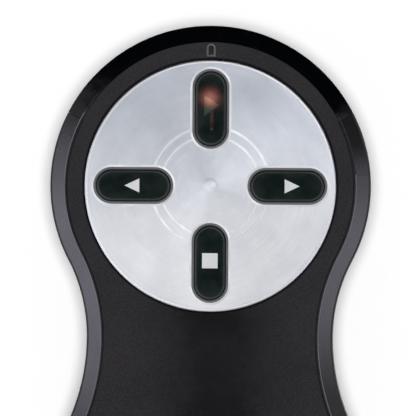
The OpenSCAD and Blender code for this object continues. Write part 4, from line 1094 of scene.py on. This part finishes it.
top_shell = finish(upper_shell(), "top_shell", "case", "charcoal_plastic", ["upper_housing"])
polish(top_shell, CHARCOAL_BEVEL, on_bevel)
polish(top_shell, BEVEL_END, by_window)
finish(lower_shell(), "bottom_shell", "case", "charcoal_plastic", ["lower_housing"])
finish(battery_cover(), "battery_cover_piece", "battery_cover", "charcoal_plastic", ["battery_door"])
finish(window_piece(), "nose_window", "case", "gloss_black", ["front_window"])
finish(disc_piece(), "metal_disc", "case", "brushed_disc", ["face_disc"])
LASER_KEY = key_gloss("laser_key_plastic", glow=True)
for name, angle in KEYS.items():
    gloss = LASER_KEY if name == "laser" else None
    finish(key_piece(name, angle), name + "_cap", name + "_key", "key_plastic", [name + "_button"], gloss)
    finish(bezel_piece(angle), name + "_bezel", "case", "brushed_disc", material=BEZEL)
    finish(slot_edge(angle), name + "_slot_edge", "case", "brushed_disc", material=SLOT_EDGE)
finish(ring_lines(), "ring_lines", "case", "brushed_disc", material=SLOT_EDGE)
for name in ("back", "next", "stop"):
    symbol = symbol_solid(name, KEYS[name], KEY_TOP - SYMBOL_T, KEY_TOP - 0.01)
    finish(symbol, name + "_symbol", name + "_key", "legend_white", [name + "_legend"])
for shape in LASER_SYMBOL:
    nodes = ["laser_legend"] if shape == "pointer" else []
    symbol = symbol_solid(shape, KEYS["laser"], KEY_TOP - SYMBOL_T, KEY_TOP + 0.004)
    finish(symbol, "laser_" + shape, "laser_key", "legend_red", nodes, LASER_PAINT[shape])
finish(knob_piece(), "power_knob_piece", "power_slider", "gloss_black", ["power_knob"], KNOB)
finish(aperture_lens(), "laser_window", "case", "clear_lens", ["laser_aperture_lens"], LASER_GLASS)
for i, place in enumerate((3, 1, 0, 2)):
    nodes = ["housing_screws"] if i == 0 else []
    finish(screw(*SCREWS[place]), "screw_%d" % (i + 1), "case", "screw_black", nodes)
for upper, node in ((True, "receiver_top_cover"), (False, "receiver_bottom_cover")):
    finish(receiver_cover(upper), node + "_piece", "receiver", "receiver_plastic", [node])
finish(plug_shell(), "usb_shell", "receiver", "usb_steel", ["usb_plug_shell"], sharp=40)
for node, x, base, way in (("battery_left", -CELL_X, LEFT_CELL_Y, 1),
                           ("battery_right", CELL_X, RIGHT_CELL_Y, -1)):
    sleeve, plus, minus = cell_parts(x, base, way)
    finish(sleeve, node + "_sleeve", "case", "cell_label", [node])
    finish(plus, node + "_plus", "case", "steel")
    finish(minus, node + "_minus", "case", "steel")
for name, x, base, way in (("negative", CELL_X, 5.65, -1), ("bridge", -CELL_X, -43.65, 1)):
    finish(coil_spring(x, base, way), name + "_coil", "case", "steel", [name + "_spring"], sharp=60)
finish(edge_line(), "edge_line", "case", "charcoal_plastic", material=EDGE_HIGHLIGHT)
finish(status_rim(), "status_light_rim", "case", "clear_lens", ["status_light_pipe"], FROSTED)
finish(status_core(), "status_light_core", "case", "clear_lens", material=SMOKE)
